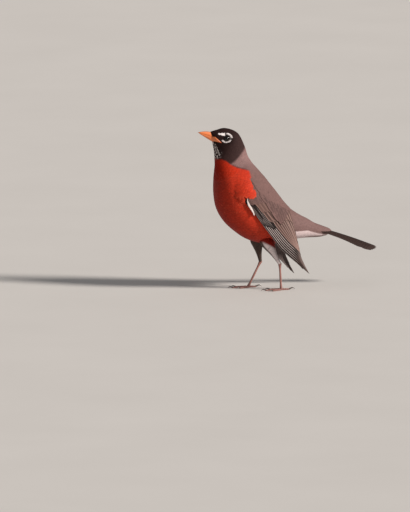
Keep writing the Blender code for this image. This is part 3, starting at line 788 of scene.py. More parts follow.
# Painted shadow: the lining turns black along its lower edge by the shoulder and along its upper edge.
rim = np.maximum(rise_between(0.10 - t, 0, 0.04) * (s < 0.34), rise_between(t, 0.93, 0.96))
tone = tinted(tinted(LINING_ORANGE, rise_between(s, 0.40, 0.55), LINING_GREY), rim, BLACK)[None]
place = np.stack([t * 2 - 1, s, np.zeros(s.shape)], axis=-1)[None]
spot = side_by_side(place)
for word, guide in wings.items():
    points = (on_wing(guide, s, t)[0] * MIRROR[word])[None, :, COLUMNS[word]]
    made = put_vanes(f"{word}_wing_lining", points, tone, place, spot, down_lining, "wing_feathers")
    thicken(made, FEATHER_THICK)

# ---- primaries ----
# Nine long stiff feathers fold to a narrow stack along the lower edge, and the three outermost lie under
# each other. Each shows a fine white edge, and their tips step out to the point of the wing.

WEB = np.array([-1.0, -0.86, -0.5, -0.1, 0.0, 0.1, 0.45, 0.8, 1.0])  # columns: outer web, shaft, inner web
FLIGHT_BROWN, FLIGHT_EDGE = (0.070, 0.038, 0.031), (0.80, 0.67, 0.64)
NO_FADE = (2, 3)  # beyond the tip


def strip_edge(s):
    """How much of the breadth the stacked primaries take: a strip that widens to all of it at the tip."""
    return 0.33 + 0.67 * np.clip((s - 0.44) / 0.44, 0, 1) ** 2


def above_strip(s, share):
    """The place across the wing at this share of what the primaries leave free."""
    return strip_edge(s) + (1 - strip_edge(s)) * share


def tip_profile(t, shoulder, power, root):
    """A feather's breadth along it: opens from root over the first fifth, rounds off past the shoulder."""
    opening = root + (1 - root) * rise_between(t, 0, 0.22)
    close = np.clip((t - shoulder) / (1 - shoulder), 0, 1)
    return opening * np.maximum((1 - close**power) ** (1 / power), 0.05)


def webs(outer, inner, profile, arch, seed, fray):
    """How far each point of the feathers lies from the shaft and stands over it, and its place.

    The webs reach outer and inner times the profile; the shaft stands up as a fine rib, the webs arch
    down from it, and the rims wander by the fray.
    """
    rng = np.random.default_rng(seed)
    reach = np.where(WEB < 0, outer[:, None], inner[:, None]) * WEB
    reach = reach[:, None] * profile[:, None]
    reach = reach * (1 + fray * rng.normal(0, 1, reach.shape) * (np.abs(WEB) > 0.9))
    rise = 0.05 * (WEB == 0) - arch * WEB**2 * np.abs(reach)
    along = np.linspace(0, 1, reach.shape[1])[None, :, None]
    number = rng.random(len(reach))[:, None, None]
    return reach, rise, np.stack(np.broadcast_arrays(WEB[None, None], along, number), axis=-1)


def web_tints(base, place, pale, edges, seed, fade=NO_FADE):
    """A large feather's colours: dark along the shaft and inner web, pale along its rims and tip.

    The inner web's darkening is partly its own colour and partly painted shade, where it lies under the
    next feather.

    edges is how pale the outer rim, the inner rim and the tip are, and how dark the shaft is. The outer
    rim's paleness falls off over the stretch given as fade.
    """
    outer_edge, inner_edge, tip_edge, shaft_dark = edges
    rng = np.random.default_rng(seed)
    across, along = place[..., 0:1], place[..., 1:2]
    own = 1 + 0.09 * rng.normal(0, 1, (len(place), 1, 1, 1))
    shaft = shaft_dark * (1 - rise_between(np.abs(across), 0.0, 0.45))
    # Partly painted shade: the inner web, which lies under the next feather, is darkened by 15 percent.
    shade = np.asarray(base) * own * (1 - shaft) * (1 - 0.15 * rise_between(across, -0.2, 0.5))
    rim = outer_edge * rise_between(-across, 0.60, 0.98) * (1 - 0.8 * rise_between(along, *fade))
    rim = (rim + inner_edge * rise_between(across, 0.72, 0.95)) * rise_between(along, 0.05, 0.2)
    rim = np.clip(rim + tip_edge * rise_between(along, 0.86, 0.99), 0, 1)
    return shade * (1 - rim) + np.asarray(pale) * rim


def put_wing_row(name, seed, finish, slot, s, t, height, outer, inner, tip, base, pale, edges,
                 arch=0.0, fade=NO_FADE, node=None):
    """One row of feathers, on both wings: shares s and t of each feather's lower rim by feather and row.

    The feathers bend with the wing's face, at a height over it in millimetres, and end at its upper
    edge. Their webs are outer and inner millimetres broad, and close as tip says for tip_profile.
    """
    s, t, height = np.broadcast_arrays(s, t, height)
    count, rows = s.shape
    outer, inner = np.broadcast_to(outer, count), np.broadcast_to(inner, count)
    reach, rise, place = webs(outer, inner, tip_profile(np.linspace(0, 1, rows), *tip), arch, seed, 0.03)
    breadth = np.interp(s, np.linspace(0, 1, FINE_ROWS), WING_BREADTH)[..., None]
    upper_edge = 1.02 - 0.045 * rise_between(s, 0.40, 0.50)[..., None]
    at_t = np.minimum(t[..., None] + (outer[:, None, None] + reach) / breadth, upper_edge)
    at_s = np.broadcast_to(s[..., None], at_t.shape)
    tone = web_tints(base, place, pale, edges, seed, fade)
    spot = side_by_side(place)
    for word, guide in wings.items():
        points, out = on_wing(guide, at_s, at_t)
        points = (points + out * (height[..., None] + rise)[..., None]) * MIRROR[word]
        turned = [a[:, :, COLUMNS[word]] for a in (points, tone, place, spot)]
        made = put_vanes(f"{word}_{name}", *turned, finish, slot)
        thicken(made, FEATHER_THICK)
        if node:
            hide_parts(node.format(word))


stiff = plumage("flight_feathers", 0.14, (6.0, 3.0, 20.0), 0.02, 0.58, 0.10)
long = np.linspace(0, 1, 26)
rank = np.arange(9)[:, None]  # 0 is the outermost
tips = np.array([0.985, 1.0, 0.996, 0.978, 0.948, 0.915, 0.885, 0.862, 0.845])[:, None]
s = 0.16 + (tips - 0.16) * long
put_wing_row(
    "primaries", 31, stiff, "flight_feathers", s,
    t=strip_edge(s) * (0.01 + 0.98 * np.maximum(rank - 2, 0.06 * rank) / 6), height=0.12 + 0.075 * rank,
    outer=1.75, inner=np.linspace(4.0, 7.0, 9), tip=(0.72, 1.7, 0.9),
    base=tinted(BLACK, rise_between(s, 0.76, 0.88)[..., None], FLIGHT_BROWN), pale=FLIGHT_EDGE,
    edges=(np.where(rank < 3, 0.25, 1.0)[..., None, None], 0.0, 0.1, 0.3), fade=(0.76, 0.88),
    node="wing_{}_primaries",
)

# ---- secondaries and tertials ----
# Six secondaries stack above the primaries, and three broad tertials cover them from the back. They are
# brown with a pale edge, which is broadest at the tips of the tertials.

WING_BROWN, WING_EDGE = (0.150, 0.084, 0.070), (0.400, 0.262, 0.228)
rank = np.arange(6)[:, None]
tips = np.array([0.805, 0.815, 0.825, 0.835, 0.84, 0.84])[:, None]
s = 0.26 + (tips - 0.26) * long
put_wing_row(
    "secondaries", 32, stiff, "flight_feathers", s,
    t=above_strip(s, 0.115 * rank), height=0.85 + 0.075 * rank, outer=2.4, inner=6.5, tip=(0.84, 2.0, 0.8),
    base=np.multiply(WING_BROWN, 0.68), pale=WING_EDGE, edges=(0.85, 0.0, 0.2, 0.4),
    node="wing_{}_secondaries",
)
rank = np.arange(3)[:, None]
tips = np.array([0.80, 0.735, 0.655])[:, None]
s = 0.30 + (tips - 0.30) * long
put_wing_row(
    "tertials", 33, stiff, "wing_feathers", s,
    t=above_strip(s, np.array([0.60, 0.74, 0.87])[:, None] + 0.06 * long), height=1.32 + 0.11 * rank,
    outer=np.array([3.2, 3.2, 3.0]), inner=5.0, tip=(0.80, 1.9, 0.8),
    base=np.multiply(WING_BROWN, 0.75), pale=WING_EDGE, edges=(0.85, 0.0, 0.45, 0.70),
)

# ---- coverts ----
# Rows of shorter feathers tile the base of the wing: narrow dark primary coverts and the alula by the
# leading edge, a long row of greater coverts, then the median and the small lesser ones.


def staggered(rows, columns):
    """The row of each small feather, and its place along it, in rows set half a step off each other."""
    row, place = (a.reshape(-1, 1) for a in np.meshgrid(np.arange(rows), np.arange(columns), indexing="ij"))
    return row, place + 0.5 * (row % 2)


soft = plumage("covert_feathers", 0.16, (5.0, 3.0, 20.0), 0.04, 0.64, 0.12)
short = np.linspace(0, 1, 12)
stray = np.random.default_rng(40)
rank = np.arange(7)[:, None]
start, end = 0.15 + 0.008 * rank, 0.395 + 0.016 * rank
put_wing_row(
    "primary_coverts", 34, stiff, "flight_feathers", start + (end - start) * short,
    t=0.015 + 0.036 * rank, height=0.85 + 0.06 * rank, outer=1.15, inner=2.6, tip=(0.80, 1.8, 0.8),
    base=np.multiply(BLACK, 1.3), pale=np.multiply(FLIGHT_EDGE, 0.75), edges=(0.75, 0.0, 0.0, 0.2),
    fade=(0.7, 0.95),
)
rank = np.arange(3)[:, None]
put_wing_row(
    "alula", 35, stiff, "flight_feathers",
    0.135 + 0.008 * rank + np.array([0.13, 0.165, 0.20])[:, None] * short,
    t=0.035 * rank, height=1.30 + 0.08 * rank, outer=1.3, inner=2.0, tip=(0.7, 1.8, 0.8), arch=0.02,
    base=np.multiply(BLACK, 1.6), pale=np.multiply(FLIGHT_EDGE, 0.7), edges=(0.6, 0.0, 0.1, 0.2),
)
rank = np.arange(8)[:, None]
end = 0.425 + 0.018 * rank + stray.normal(0, 0.006, rank.shape)
put_wing_row(
    "greater_coverts", 36, soft, "wing_feathers", end - 0.27 * (1 - short),
    t=0.225 + 0.098 * rank - 0.03 * (1 - short) + 0.02 * short * (rank < 5), height=1.36 + 0.06 * rank,
    outer=2.6, inner=3.4, tip=(0.74, 1.9, 0.8), arch=0.01,
    base=WING_BROWN, pale=WING_EDGE, edges=(0.8, 0.1, 0.15, 0.60), node="wing_{}_greater_coverts",
)
rank = np.arange(9)[:, None]
end = 0.300 + 0.016 * rank + stray.normal(0, 0.006, rank.shape)
put_wing_row(
    "median_coverts", 37, soft, "wing_feathers", end - 0.15 * (1 - short),
    t=0.19 + 0.088 * rank, height=1.62 + 0.035 * rank, outer=2.6, inner=3.0, tip=(0.62, 1.9, 0.8), arch=0.02,
    base=np.multiply(WING_BROWN, 1.08), pale=WING_EDGE, edges=(0.30, 0.1, 0.12, 0.3),
)
row, place_in_row = staggered(9, 13)
across = place_in_row / 12.5
end = 0.020 + 0.0185 * row + 0.165 * across + stray.normal(0, 0.004, across.shape)
put_wing_row(
    "lesser_coverts", 38, soft, "wing_feathers", end - 0.085 * (1 - short),
    t=0.09 + 0.86 * across, height=1.92 - 0.010 * row, outer=2.2, inner=2.4, tip=(0.5, 1.9, 0.7), arch=0.02,
    base=np.multiply(MANTLE, 0.92), pale=WING_EDGE, edges=(0.08, 0.0, 0.06, 0.10), node="wing_{}_scapulars",
)

# ---- white edge of the bend of the wing ----
# A tuft of four small white coverts folds round the leading edge just under the red side of the breast,
# and lies over the alula's root.

rank = np.arange(4)[:, None]
s = 0.085 + 0.027 * rank + 0.095 * short
put_wing_row(
    "marginal_coverts", 39, soft, "wing_feathers", s,
    t=0.090 - 1.05 * (s - 0.085) + 0.010 * rank, height=1.75 - 0.05 * rank,
    outer=0.95, inner=1.0, tip=(0.7, 2.2, 0.8), arch=0.05, base=WHITE, pale=WHITE, edges=(0.3, 0.0, 0.2, 0.0),
)

# ---- scapulars ----
# Broad soft feathers of the shoulder lie over the upper half of the wing and run on from the mantle, in
# its colour.

SCAPULAR_EDGE = (0.27, 0.175, 0.160)
row, place_in_row = staggered(7, 7)
across = 0.93 - 0.075 * place_in_row
start = 0.02 + 0.040 * row + 0.10 * (1 - across) + stray.normal(0, 0.004, across.shape)
put_wing_row(
    "scapulars", 41, soft, "back_feathers", start + (0.125 + 0.010 * row) * short,
    t=across - 0.04 * short, height=2.10 - 0.012 * row + 0.10 * short,
    outer=3.4, inner=3.6, tip=(0.5, 1.9, 0.7), arch=0.01,
    base=np.multiply(MANTLE, 0.96), pale=SCAPULAR_EDGE, edges=(0.10, 0.05, 0.10, 0.42),
)

# ---- tail ----
# Twelve long feathers close into a shallow roof. The middle pair lies on top, and each pair outwards
# lies under the last and ends a little shorter.

TAIL_BASE, TAIL_TIP = np.array([38.0, 72.2]), np.array([113.4, 45.4])
TAIL_HALF_WIDTH, TAIL_DROP, TAIL_ROUNDING, TAIL_BOW = (9.2, 13.2), (3.2, 8.0), 0.20, 1.2
TAIL_COLOUR, TAIL_EDGE = (0.0105, 0.0048, 0.0036), (0.16, 0.098, 0.085)
TAIL_THICK = 0.12
# By pair, from the middle out: the webs, and where the shaft lies as a share of the half width.
TAIL_OUTER_WEB = np.array([3.0, 2.4, 2.1, 1.9, 1.7, 1.5])
TAIL_INNER_WEB = np.array([4.2, 5.0, 5.4, 5.4, 5.2, 5.0])
TAIL_SHAFTS = np.array([0.15, 0.36, 0.53, 0.67, 0.79, 0.885])


def tail_top(along, across):
    """The tail's upper face: its half width grows and its sides hang lower towards the tip."""
    half = TAIL_HALF_WIDTH[0] + (TAIL_HALF_WIDTH[1] - TAIL_HALF_WIDTH[0]) * np.clip(along, 0, 1) ** 0.8
    drop = TAIL_DROP[0] + (TAIL_DROP[1] - TAIL_DROP[0]) * along
    end = 1 - TAIL_ROUNDING * np.abs(across) ** 3 * along
    middle = TAIL_BASE + (TAIL_TIP - TAIL_BASE) * (along * end)[..., None]
    z = middle[..., 1] + TAIL_BOW * np.sin(math.pi * along) - drop * across**2
    return np.stack([middle[..., 0], half * across, z], axis=-1)


tail_rows = np.linspace(-0.06, 1, 26)
pair, hand = np.repeat(np.arange(6), 2), np.tile([-1.0, 1.0], 6)  # hand -1 is the left of a pair
left_web = np.where(hand < 0, TAIL_OUTER_WEB[pair], TAIL_INNER_WEB[pair])
right_web = np.where(hand < 0, TAIL_INNER_WEB[pair], TAIL_OUTER_WEB[pair])
reach, rise, place = webs(left_web, right_web, tip_profile(tail_rows, 0.90, 1.7, 0.8), 0.0, 51, 0.004)
along = np.broadcast_to(tail_rows[None, :, None], reach.shape)
half = np.interp(tail_rows, (0, 1), TAIL_HALF_WIDTH)[None, :, None]
across = np.clip((hand * TAIL_SHAFTS[pair])[:, None, None] + reach / half, -1.0, 1.0)
points = tail_top(along, across)
out = np.cross(np.gradient(points, axis=1), tail_top(along, across + 0.02) - tail_top(along, across - 0.02))
out /= np.linalg.norm(out, axis=-1, keepdims=True)
sink = (0.10 + 0.22 * pair + 0.06 * (hand < 0))[:, None, None] - rise
points = points - out * sink[..., None]
outer_first = place * np.stack([-hand, np.ones(12), np.ones(12)], axis=-1)[:, None, None]
tone = web_tints(TAIL_COLOUR, outer_first, TAIL_EDGE, (0.4, 0.0, 0.12, 0.3), 52)
tail = put_vanes("tail_feathers", points, tone, place, side_by_side(place), stiff, "flight_feathers")
thicken(tail, TAIL_THICK)
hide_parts("tail_left", "tail_centre", "tail_right")

# ---- thighs ----
# The upper leg is a short cone of flesh that leaves the belly and ends at the hock. Soft whitish feathers
# cover it, darkened by painted shade in front and on the inner side, over skin painted dark grey as shade
# between them, and deep red with painted shade where it joins the belly.

LEGS = {  # (x, z) of each joint
    "left": {"hip": (-31.0, 60.0), "hock": (-15.6, 31.6), "foot": (-14.2, 0.0)},
    "right": {"hip": (-35.0, 60.0), "hock": (-28.2, 30.8), "foot": (-44.0, 0.0)},
}
JOINT_Y = {"hip": 11.5, "hock": 16.5, "foot": 17.5}  # how far out each joint is
THIGH_SHARES, THIGH_RADII = (-0.3, -0.1, 0.1, 0.3, 0.5, 0.75, 1.0), (4.0, 7.6, 8.0, 6.3, 4.4, 2.8, 1.9)
THIGH_DEPTH, THIGH_LENGTH, THIGH_VANES = 1.1, 33.0, 2600
# The thigh's dark grey is painted shade, on the skin between the feathers and on the feathers' front and
# inner side.
THIGH_WHITE, THIGH_SHADE = (0.82, 0.71, 0.70), (0.075, 0.050, 0.040)


def limb_axes(start, end):
    """Directions across a limb that runs down from start to end: towards the bill, and to the side."""
    forward = (end - start) / np.linalg.norm(end - start)
    ahead = np.cross((0, 1, 0), forward)
    ahead /= -np.linalg.norm(ahead)
    return ahead, np.cross(forward, ahead)


def at_joint(word, joint):
    """The middle of a joint of the leg on this side."""
    x, z = LEGS[word][joint]
    return np.array([x, SIDES[word] * JOINT_Y[joint], z])


def thigh_form(word, share, angle, height):
    """A cone from hip to hock: its radius runs smoothly through the radii, angle 0 facing the bill."""
    start, end = at_joint(word, "hip"), at_joint(word, "hock")
    ahead, beside = limb_axes(start, end)
    radius = curve_through(THIGH_SHARES, THIGH_RADII, np.clip(share, -0.3, 1.05)) - THIGH_DEPTH + height
    ring = np.cos(angle)[..., None] * ahead + np.sin(angle)[..., None] * beside
    return start + (end - start) * share[..., None] + np.maximum(radius, 0.5)[..., None] * ring


def near_belly(points):
    """1 where the thigh has the belly's red, above a line that slants down towards the tail."""
    return rise_between(points[..., 2] - 53.0 + 0.5 * (points[..., 0] + 25.0), -2.0, 1.5)


def thigh_unwrapped(angle, share):
    """A place on the thigh's unwrap: the angle across and the share of the length up."""
    return np.stack([0.05 + 0.9 * angle / ROUND, 0.05 + 0.9 * (share + 0.3) / 1.35], axis=-1)


for word, side in SIDES.items():
    share, angle = round_grid(np.linspace(-0.3, 1.02, 30), 28)
    cone = thigh_form(word, share, angle, 0.0)
    made = put_mesh(f"{word}_thigh_skin", cone, wrapped_faces(*share.shape), hide)
    # The thigh skin is painted shade: dark grey between the feathers, and deep red with painted shade by the
    # belly.
    keep_tint(made, tinted(THIGH_SHADE, near_belly(cone), BRICK_DEEP_AND_SHADE))
    unwrap(made, thigh_unwrapped(angle, share))
    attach(made, "root")
    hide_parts(f"thigh_{word}")

    rng = np.random.default_rng(61)
    k = np.arange(THIGH_VANES)
    root = -0.25 + 1.18 * (1 - (1 - (0.5 + k / PLASTIC) % 1) ** 0.72)
    spin = ROUND * ((0.5 + k / PLASTIC**2) % 1)
    length = np.interp(root, (-0.25, 0.5, 1.0), (6.5, 4.6, 2.4))[:, None, None]
    girth = np.interp(root, (-0.25, 0, 0.5, 1), (5.0, 8.4, 4.6, 1.5))[:, None, None]
    t, c = np.linspace(0, 1, 4)[None, :, None], np.linspace(-1, 1, 5)[None, None, :]
    jag = 0.07 * rng.normal(0, 1, (THIGH_VANES, 4, 5)) * (t == 1)
    share = root[:, None, None] + length * (t * (1 - 0.14 * c**2) + jag) / THIGH_LENGTH
    wander = rng.normal(0, 0.08, (THIGH_VANES, 1, 1)) * t
    angle = spin[:, None, None] + c * vane_breadth(t, 0.5, 0.65) * 0.28 * length / girth + wander
    climb = 1.1 * (1 - (1 - t) ** 3) - 0.1 - 0.1 * t**6
    points = thigh_form(word, np.minimum(share, 1.04), angle, THIGH_DEPTH * climb)
    place = np.stack(np.broadcast_arrays(c, t, rng.random(THIGH_VANES)[:, None, None]), axis=-1)
    # Painted shade: the feathers darken towards the dark grey on the inner side and in front.
    inner = rise_between(JOINT_Y["hock"] - side * points[..., 1], -1.0, 1.5)
    front = 0.6 * rise_between(np.cos(angle), -0.2, 0.9)
    tone = tinted(tinted(THIGH_WHITE, np.maximum(inner, front), THIGH_SHADE), near_belly(points), BRICK_DEEP_AND_SHADE)
    tone = vane_tints(tone, place, 62, 0.08, 0.15, tone * 1.25, 0.2)
    spot = patches(thigh_unwrapped(spin, root), place)
    put_vanes(f"{word}_thigh_feathers", points, tone, place, spot, silk, "thigh_feathers")

# ---- eyes ----
# A dark brown eye with a wide black pupil lies under a clear wet surface. A bare dark lid, a rim of
# wrinkled skin, goes round it.

PUPIL, IRIS = (0.0008, 0.0006, 0.0006, 1), (0.0120, 0.0052, 0.0030, 1)
EYE_EDGE = (0.004, 0.003, 0.003, 1)
LID_REACH, LID_THICK = (3.70, 3.25), 0.36  # the lid's half length and half height
wet, shader, made = finish_of("eye", roughness=0.05, ior=1.40)
from_axis = made.node("Attribute", attribute_name="from_axis", output=2)
iris = from_axis.band(1.7, 2.1).blend(PUPIL, IRIS)
feed(shader, "Base Color", from_axis.band(2.9, 3.5).blend(iris, EYE_EDGE))
lid_skin, shader, made = finish_of("lid_skin", roughness=0.6, specular_ior_level=0.2)
wrinkle = made.node("TexCoord", output=3).noise(2500.0)
feed(shader, "Base Color", wrinkle.blend((0.008, 0.006, 0.006, 1), (0.030, 0.021, 0.020, 1)))
feed(shader, "Normal", wrinkle.relief(0.4, 0.0002))
for word, side in SIDES.items():
    back, up, out, middle = eye_axes(side)
    polar, angle = round_grid(np.linspace(0, math.pi, 25), 40)
    around = np.cos(angle)[..., None] * back + np.sin(angle)[..., None] * up
    reach = EYE_RADIUS * np.sin(polar)
    ball = middle + reach[..., None] * around + (EYE_RADIUS * np.cos(polar))[..., None] * out
    eye = put_mesh(f"{word}_eye", ball, wrapped_faces(*polar.shape), wet)
    keep_values(eye, "from_axis", "FLOAT", "value", np.where(polar < math.pi / 2, reach, EYE_RADIUS))
    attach(eye, "root")
    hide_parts(f"eye_{word}")

    along, tube = round_grid(np.linspace(0, ROUND, 57), 10)
    around = np.cos(along)[..., None] * back + np.sin(along)[..., None] * up
    reach = np.hypot(LID_REACH[0] * np.cos(along), LID_REACH[1] * np.sin(along))
    stand = np.sqrt(EYE_RADIUS**2 - reach**2) + LID_THICK * np.sin(tube)
    rim = middle + around * (reach + LID_THICK * np.cos(tube))[..., None] + out * stand[..., None]
    lid = put_mesh(f"{word}_eyelid", rim, wrapped_faces(*tube.shape), lid_skin)
    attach(lid, "root")

# ---- bill ----
# Two horny mandibles, orange with a dusky tip and a dusky ridge that is partly painted shade, meet along
# the line of the mouth. The upper one has a shallow nostril on each side. Each is a bowed half cone with
# a flat inner face.

BILL_BASE, BILL_TIP = np.array([-90.0, 184.4]), np.array([-114.2, 192.7])
BILL_WIDTH, MOUTH_GAP = 4.6, 0.05
ORANGE, DUSKY = (0.76, 0.205, 0.058), (0.24, 0.085, 0.035)
GAPE, NOSTRIL = (0.50, 0.085, 0.030), (0.03, 0.015, 0.01)
horn, shader, made = finish_of("bill_horn", roughness=0.38, coat_weight=0.15, coat_roughness=0.3)
grain = (made.node("TexCoord", output=3) * (400.0, 1600.0, 1600.0)).noise(1.0, 4.0)
feed(shader, "Base Color", made.node("Attribute", attribute_name="tint") * (0.78 + 0.44 * grain))
feed(shader, "Normal", grain.relief(0.25, 0.0003))
bill_up = np.array([BILL_TIP[1] - BILL_BASE[1], BILL_BASE[0] - BILL_TIP[0]])
bill_up /= np.linalg.norm(bill_up)
# Each half: which way it bulges from the mouth line, its height, and its share of the length.
for name, upward, height, reach in (("bill_upper", 1, 5.6, 1.0), ("bill_lower", -1, 5.4, 0.93)):
    share = reach * (1.22 * np.linspace(0, 1, 60) ** 0.9 - 0.22)
    share, angle = np.meshgrid(share, np.linspace(0, math.pi, 33), indexing="ij")
    ahead = np.clip(share / reach, 0, 1)
    tall = height * (1 - 0.93 * ahead**2.1)
    wide = BILL_WIDTH * (1 - 0.9 * ahead**0.75) * (1 + 0.25 * np.clip(-share, 0, 1))
    bow = 0.9 * np.sin(math.pi * ahead**1.3) - 8.4 * np.clip(0.10 - share, 0, 1) ** 1.6
    pit = np.exp(-(((share - 0.20) / 0.055) ** 2) - ((np.abs(np.cos(angle)) - 0.72) / 0.12) ** 2)
    pit = 0.8 * pit * (upward == 1)
    y = (wide - pit) * np.cos(angle)
    mouth = BILL_BASE + (BILL_TIP - BILL_BASE) * share[..., None] + bill_up * bow[..., None]
    outer = mouth + bill_up * (upward * (tall * np.sin(angle) ** 0.86 - MOUTH_GAP))[..., None]
    inner = mouth - bill_up * (upward * MOUTH_GAP)
    whole = np.concatenate([
        np.stack([outer[..., 0], y, outer[..., 1]], axis=-1),
        np.stack([inner[..., 0], y[:, ::-1], inner[..., 1]], axis=-1)[:, 1:-1],
    ], axis=1)
    whole[[0, -1]] = whole[[0, -1]].mean(axis=1, keepdims=True)
    # The upper ridge's dusk is partly its own colour and partly painted shade.
    tone = tinted(ORANGE, 0.7 * rise_between(np.sin(angle), 0.62, 1.0) * (upward == 1), DUSKY)
    tone = tinted(tone, 0.75 * rise_between(share, 0.80, 0.98), DUSKY)
    tone = tinted(tone, 0.3 * rise_between(0.06 - share, 0, 0.2), GAPE)
    tone = tinted(tone, np.clip(pit / 0.5, 0, 1), NOSTRIL)
    faces = wrapped_faces(*whole.shape[:2])
    half = put_mesh(f"{name}_horn", whole, faces[:, ::-1] if upward == 1 else faces, horn)
    inside = np.broadcast_to(GAPE, tone[:, 1:-1].shape)
    keep_tint(half, np.concatenate([tone, inside], axis=1))
    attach(half, "root")
    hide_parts(name)

# ---- gape ----
# The orange skin of the gape runs back over the face from the bill to the corner of the mouth, with a
# crease along its middle. It follows the face's outline and bulges a little out of it.

GAPE_START, GAPE_REACH, GAPE_THICK = -97.8, 10.6, 0.2
a, b = np.meshgrid(np.linspace(0, 1, 40), np.linspace(0, 1, 22), indexing="ij")
x = GAPE_START + GAPE_REACH * a
z = np.interp(x, *GAPE_LOWER.T) * (1 - b) + np.interp(x, *GAPE_UPPER.T) * b
y = depth_under(outline_tree(6), np.stack([x, np.zeros(x.shape), z], axis=-1), (0.0, 1.0, 0.0), 30.0, 2.9)
off_bill = rise_between(a, 0.1, 0.4)
crease = np.exp(-(((b - 0.5) / 0.08) ** 2)) * off_bill
y += 0.95 * np.sin(math.pi * b) ** 0.6 * off_bill * (1.1 - 0.5 * a) - 0.3 - 0.25 * crease
y -= 0.8 * (1 - rise_between(a, 0, 0.25)) + 0.9 * rise_between(b, 0.6, 1.0) * (1 - off_bill)
tone = tinted(tinted(ORANGE, 0.75 * rise_between(a, 0.3, 1.0), GAPE), 0.5 * crease, DUSKY)
for word, side in SIDES.items():
    points = np.stack([x, side * y, z], axis=-1)[:, COLUMNS[word]]
    gape = put_mesh(f"{word}_gape", points, vane_faces(1, *x.shape), horn)
    keep_tint(gape, tone[:, COLUMNS[word]])
    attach(gape, "root")
    thicken(gape, GAPE_THICK)

# ---- bare legs and toes ----
# The tarsus is sheathed in a smooth horny boot with a few broad plates in front. Each toe has plates on
# top and round pads below, and lies on a narrow flat. The curved claws reach the floor at their tips.

TARSUS_SHARES, TARSUS_RADII, TARSUS_PLATES = (0.0, 0.12, 0.5, 0.88, 1.0), (1.9, 1.35, 1.2, 1.4, 2.0), 7.5
# Each toe: turn from straight ahead in degrees, root (out, aside), length, root radius and claw length.
TOES = {
    "inner": (-22.0, (2.4, -2.7), 11.5, 1.15, 5.0),
    "middle": (0.0, (2.4, 0.0), 17.5, 1.2, 5.6),
    "outer": (22.0, (2.4, 2.7), 12.5, 1.1, 4.6),
    "hind": (180.0, (3.2, 0.0), 7.5, 1.25, 7.0),
}
TOE_PLATE, TOE_END, CLAW_BEND = 1.5, 1.03, 0.42 * math.pi
LEG_COLOUR, LEG_DARK = (0.300, 0.135, 0.112), (0.095, 0.045, 0.038)
scaly, shader, made = finish_of("leg_skin", roughness=0.5, specular_ior_level=0.4)
grain = made.node("TexCoord", output=3).noise(1400.0, 3.0)
feed(shader, "Base Color", made.node("Attribute", attribute_name="tint") * (0.72 + 0.56 * grain))
feed(shader, "Normal", grain.relief(0.35, 0.0002))
dark_horn, shader, made = finish_of("claw_horn", roughness=0.33, coat_weight=0.2)
grain = (made.node("TexCoord", output=3) * (900.0, 900.0, 300.0)).noise(1.0)
feed(shader, "Base Color", grain.blend((0.018, 0.011, 0.009, 1), (0.060, 0.038, 0.030, 1)))


def put_limb(name, rings, finish, node):
    """A closed tube from rings (row, column, xyz), kept from going below the floor."""
    rings[..., 2] = np.maximum(rings[..., 2], 0)
    made = put_mesh(name, drawn_in(rings, 0.02), wrapped_faces(*rings.shape[:2]), finish)
    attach(made, "root")
    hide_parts(node)
    return made


def put_shank(word):
    """The tarsus from hock to foot, deeper than it is wide, stepped at the plates along its front."""
    start, end = at_joint(word, "hock"), at_joint(word, "foot")
    ahead, beside = limb_axes(start, end)
    share, angle = round_grid(np.concatenate([[-0.04], np.linspace(-0.03, 0.999, 110), [1.0]]), 24)
    front = np.clip(np.cos(angle), 0, 1)
    plate = share * TARSUS_PLATES % 1
    radius = curve_through(TARSUS_SHARES, TARSUS_RADII, np.clip(share, 0, 1))
    radius = radius * (1 + 0.07 * front * (plate**0.5 - 0.6) * rise_between(0.98 - share, 0, 0.06))
    ring = 1.12 * np.cos(angle)[..., None] * ahead + 0.9 * np.sin(angle)[..., None] * beside
    rings = start + (end - start) * share[..., None] + radius[..., None] * ring
    shank = put_limb(f"{word}_shank", rings, scaly, f"tarsus_{word}")
    seam = rise_between(np.abs(plate - 0.5), 0.40, 0.5) * front
    tone = tinted(LEG_COLOUR, 0.65 * seam + 0.35 * rise_between(-np.cos(angle), 0, 1), LEG_DARK)
    keep_tint(shank, tinted(tone, 0.5 * rise_between(share, 0.75, 1.0), LEG_DARK))


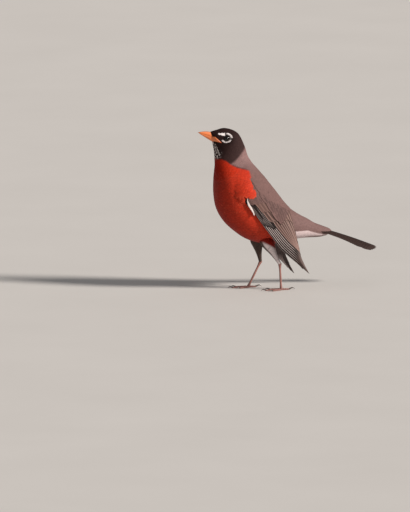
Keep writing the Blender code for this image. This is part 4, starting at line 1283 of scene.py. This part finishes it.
def put_toe(word, toe):
    """A toe, thick at its root and rounded at both ends, and the claw that curves down from its end.

    The claw rises over a sine arch and thins to its tip; its middle line runs out by the sine of its
    bend.
    """
    side, (degrees, (out_from, aside), length, thick, claw_length) = SIDES[word], TOES[toe]
    heading = math.radians(degrees)
    ahead = np.array([-math.cos(heading), side * math.sin(heading), 0.0])
    sideways = np.array([-ahead[1], ahead[0], 0.0])
    begin = at_joint(word, "foot") + np.array([-out_from * math.cos(heading), side * aside, 0.0])
    first = -(out_from - 0.3) / length  # the toe starts inside the shank
    share, angle = round_grid(np.linspace(first, TOE_END, 70), 20)
    ends = np.clip((share - first) / 0.10, 0.001, 1) * np.clip((TOE_END - share) / 0.10, 0.001, 1)
    plate = share * length / TOE_PLATE % 1
    top = np.clip(np.sin(angle), 0, 1)
    tapered = thick * (1 - 0.3 * share)
    padded = tapered * (1 + 0.1 * np.cos(6 * math.pi * share))
    radius = padded * (1 + 0.06 * top * (plate - 0.5)) * np.sqrt(ends)
    line = begin + ahead * (length * share)[..., None] + sideways * (radius * np.cos(angle))[..., None]
    line[..., 1] -= side * aside * 0.6 * np.clip(share / first, 0, 1)
    line[..., 2] = 0.82 * tapered + radius * np.sin(angle)
    digit = put_limb(f"{word}_{toe}_digit", line, scaly, f"{toe}_toe_{word}")
    seam = rise_between(np.abs(plate - 0.5), 0.36, 0.5) * top
    keep_tint(digit, tinted(LEG_COLOUR, 0.35 + 0.5 * seam, LEG_DARK))

    share, angle = round_grid(np.linspace(-0.18, 1, 30), 14)
    bent = np.clip(share, 0, 1)
    radius = 0.66 * thick * (1 - 0.84 * bent)
    reach = length + claw_length * (np.sin(CLAW_BEND * bent) / math.sin(CLAW_BEND) + np.minimum(share, 0))
    tall = 0.95 * thick + 0.2 * claw_length * np.sin(math.pi * bent) - 0.87 * thick * bent**2
    line = begin + ahead * reach[..., None] + sideways * (0.7 * radius * np.cos(angle))[..., None]
    line[..., 2] = tall + 1.15 * radius * np.sin(angle)
    put_limb(f"{word}_{toe}_talon", line, dark_horn, f"{toe}_claw_{word}")


for word in SIDES:
    put_shank(word)
    for toe in TOES:
        put_toe(word, toe)
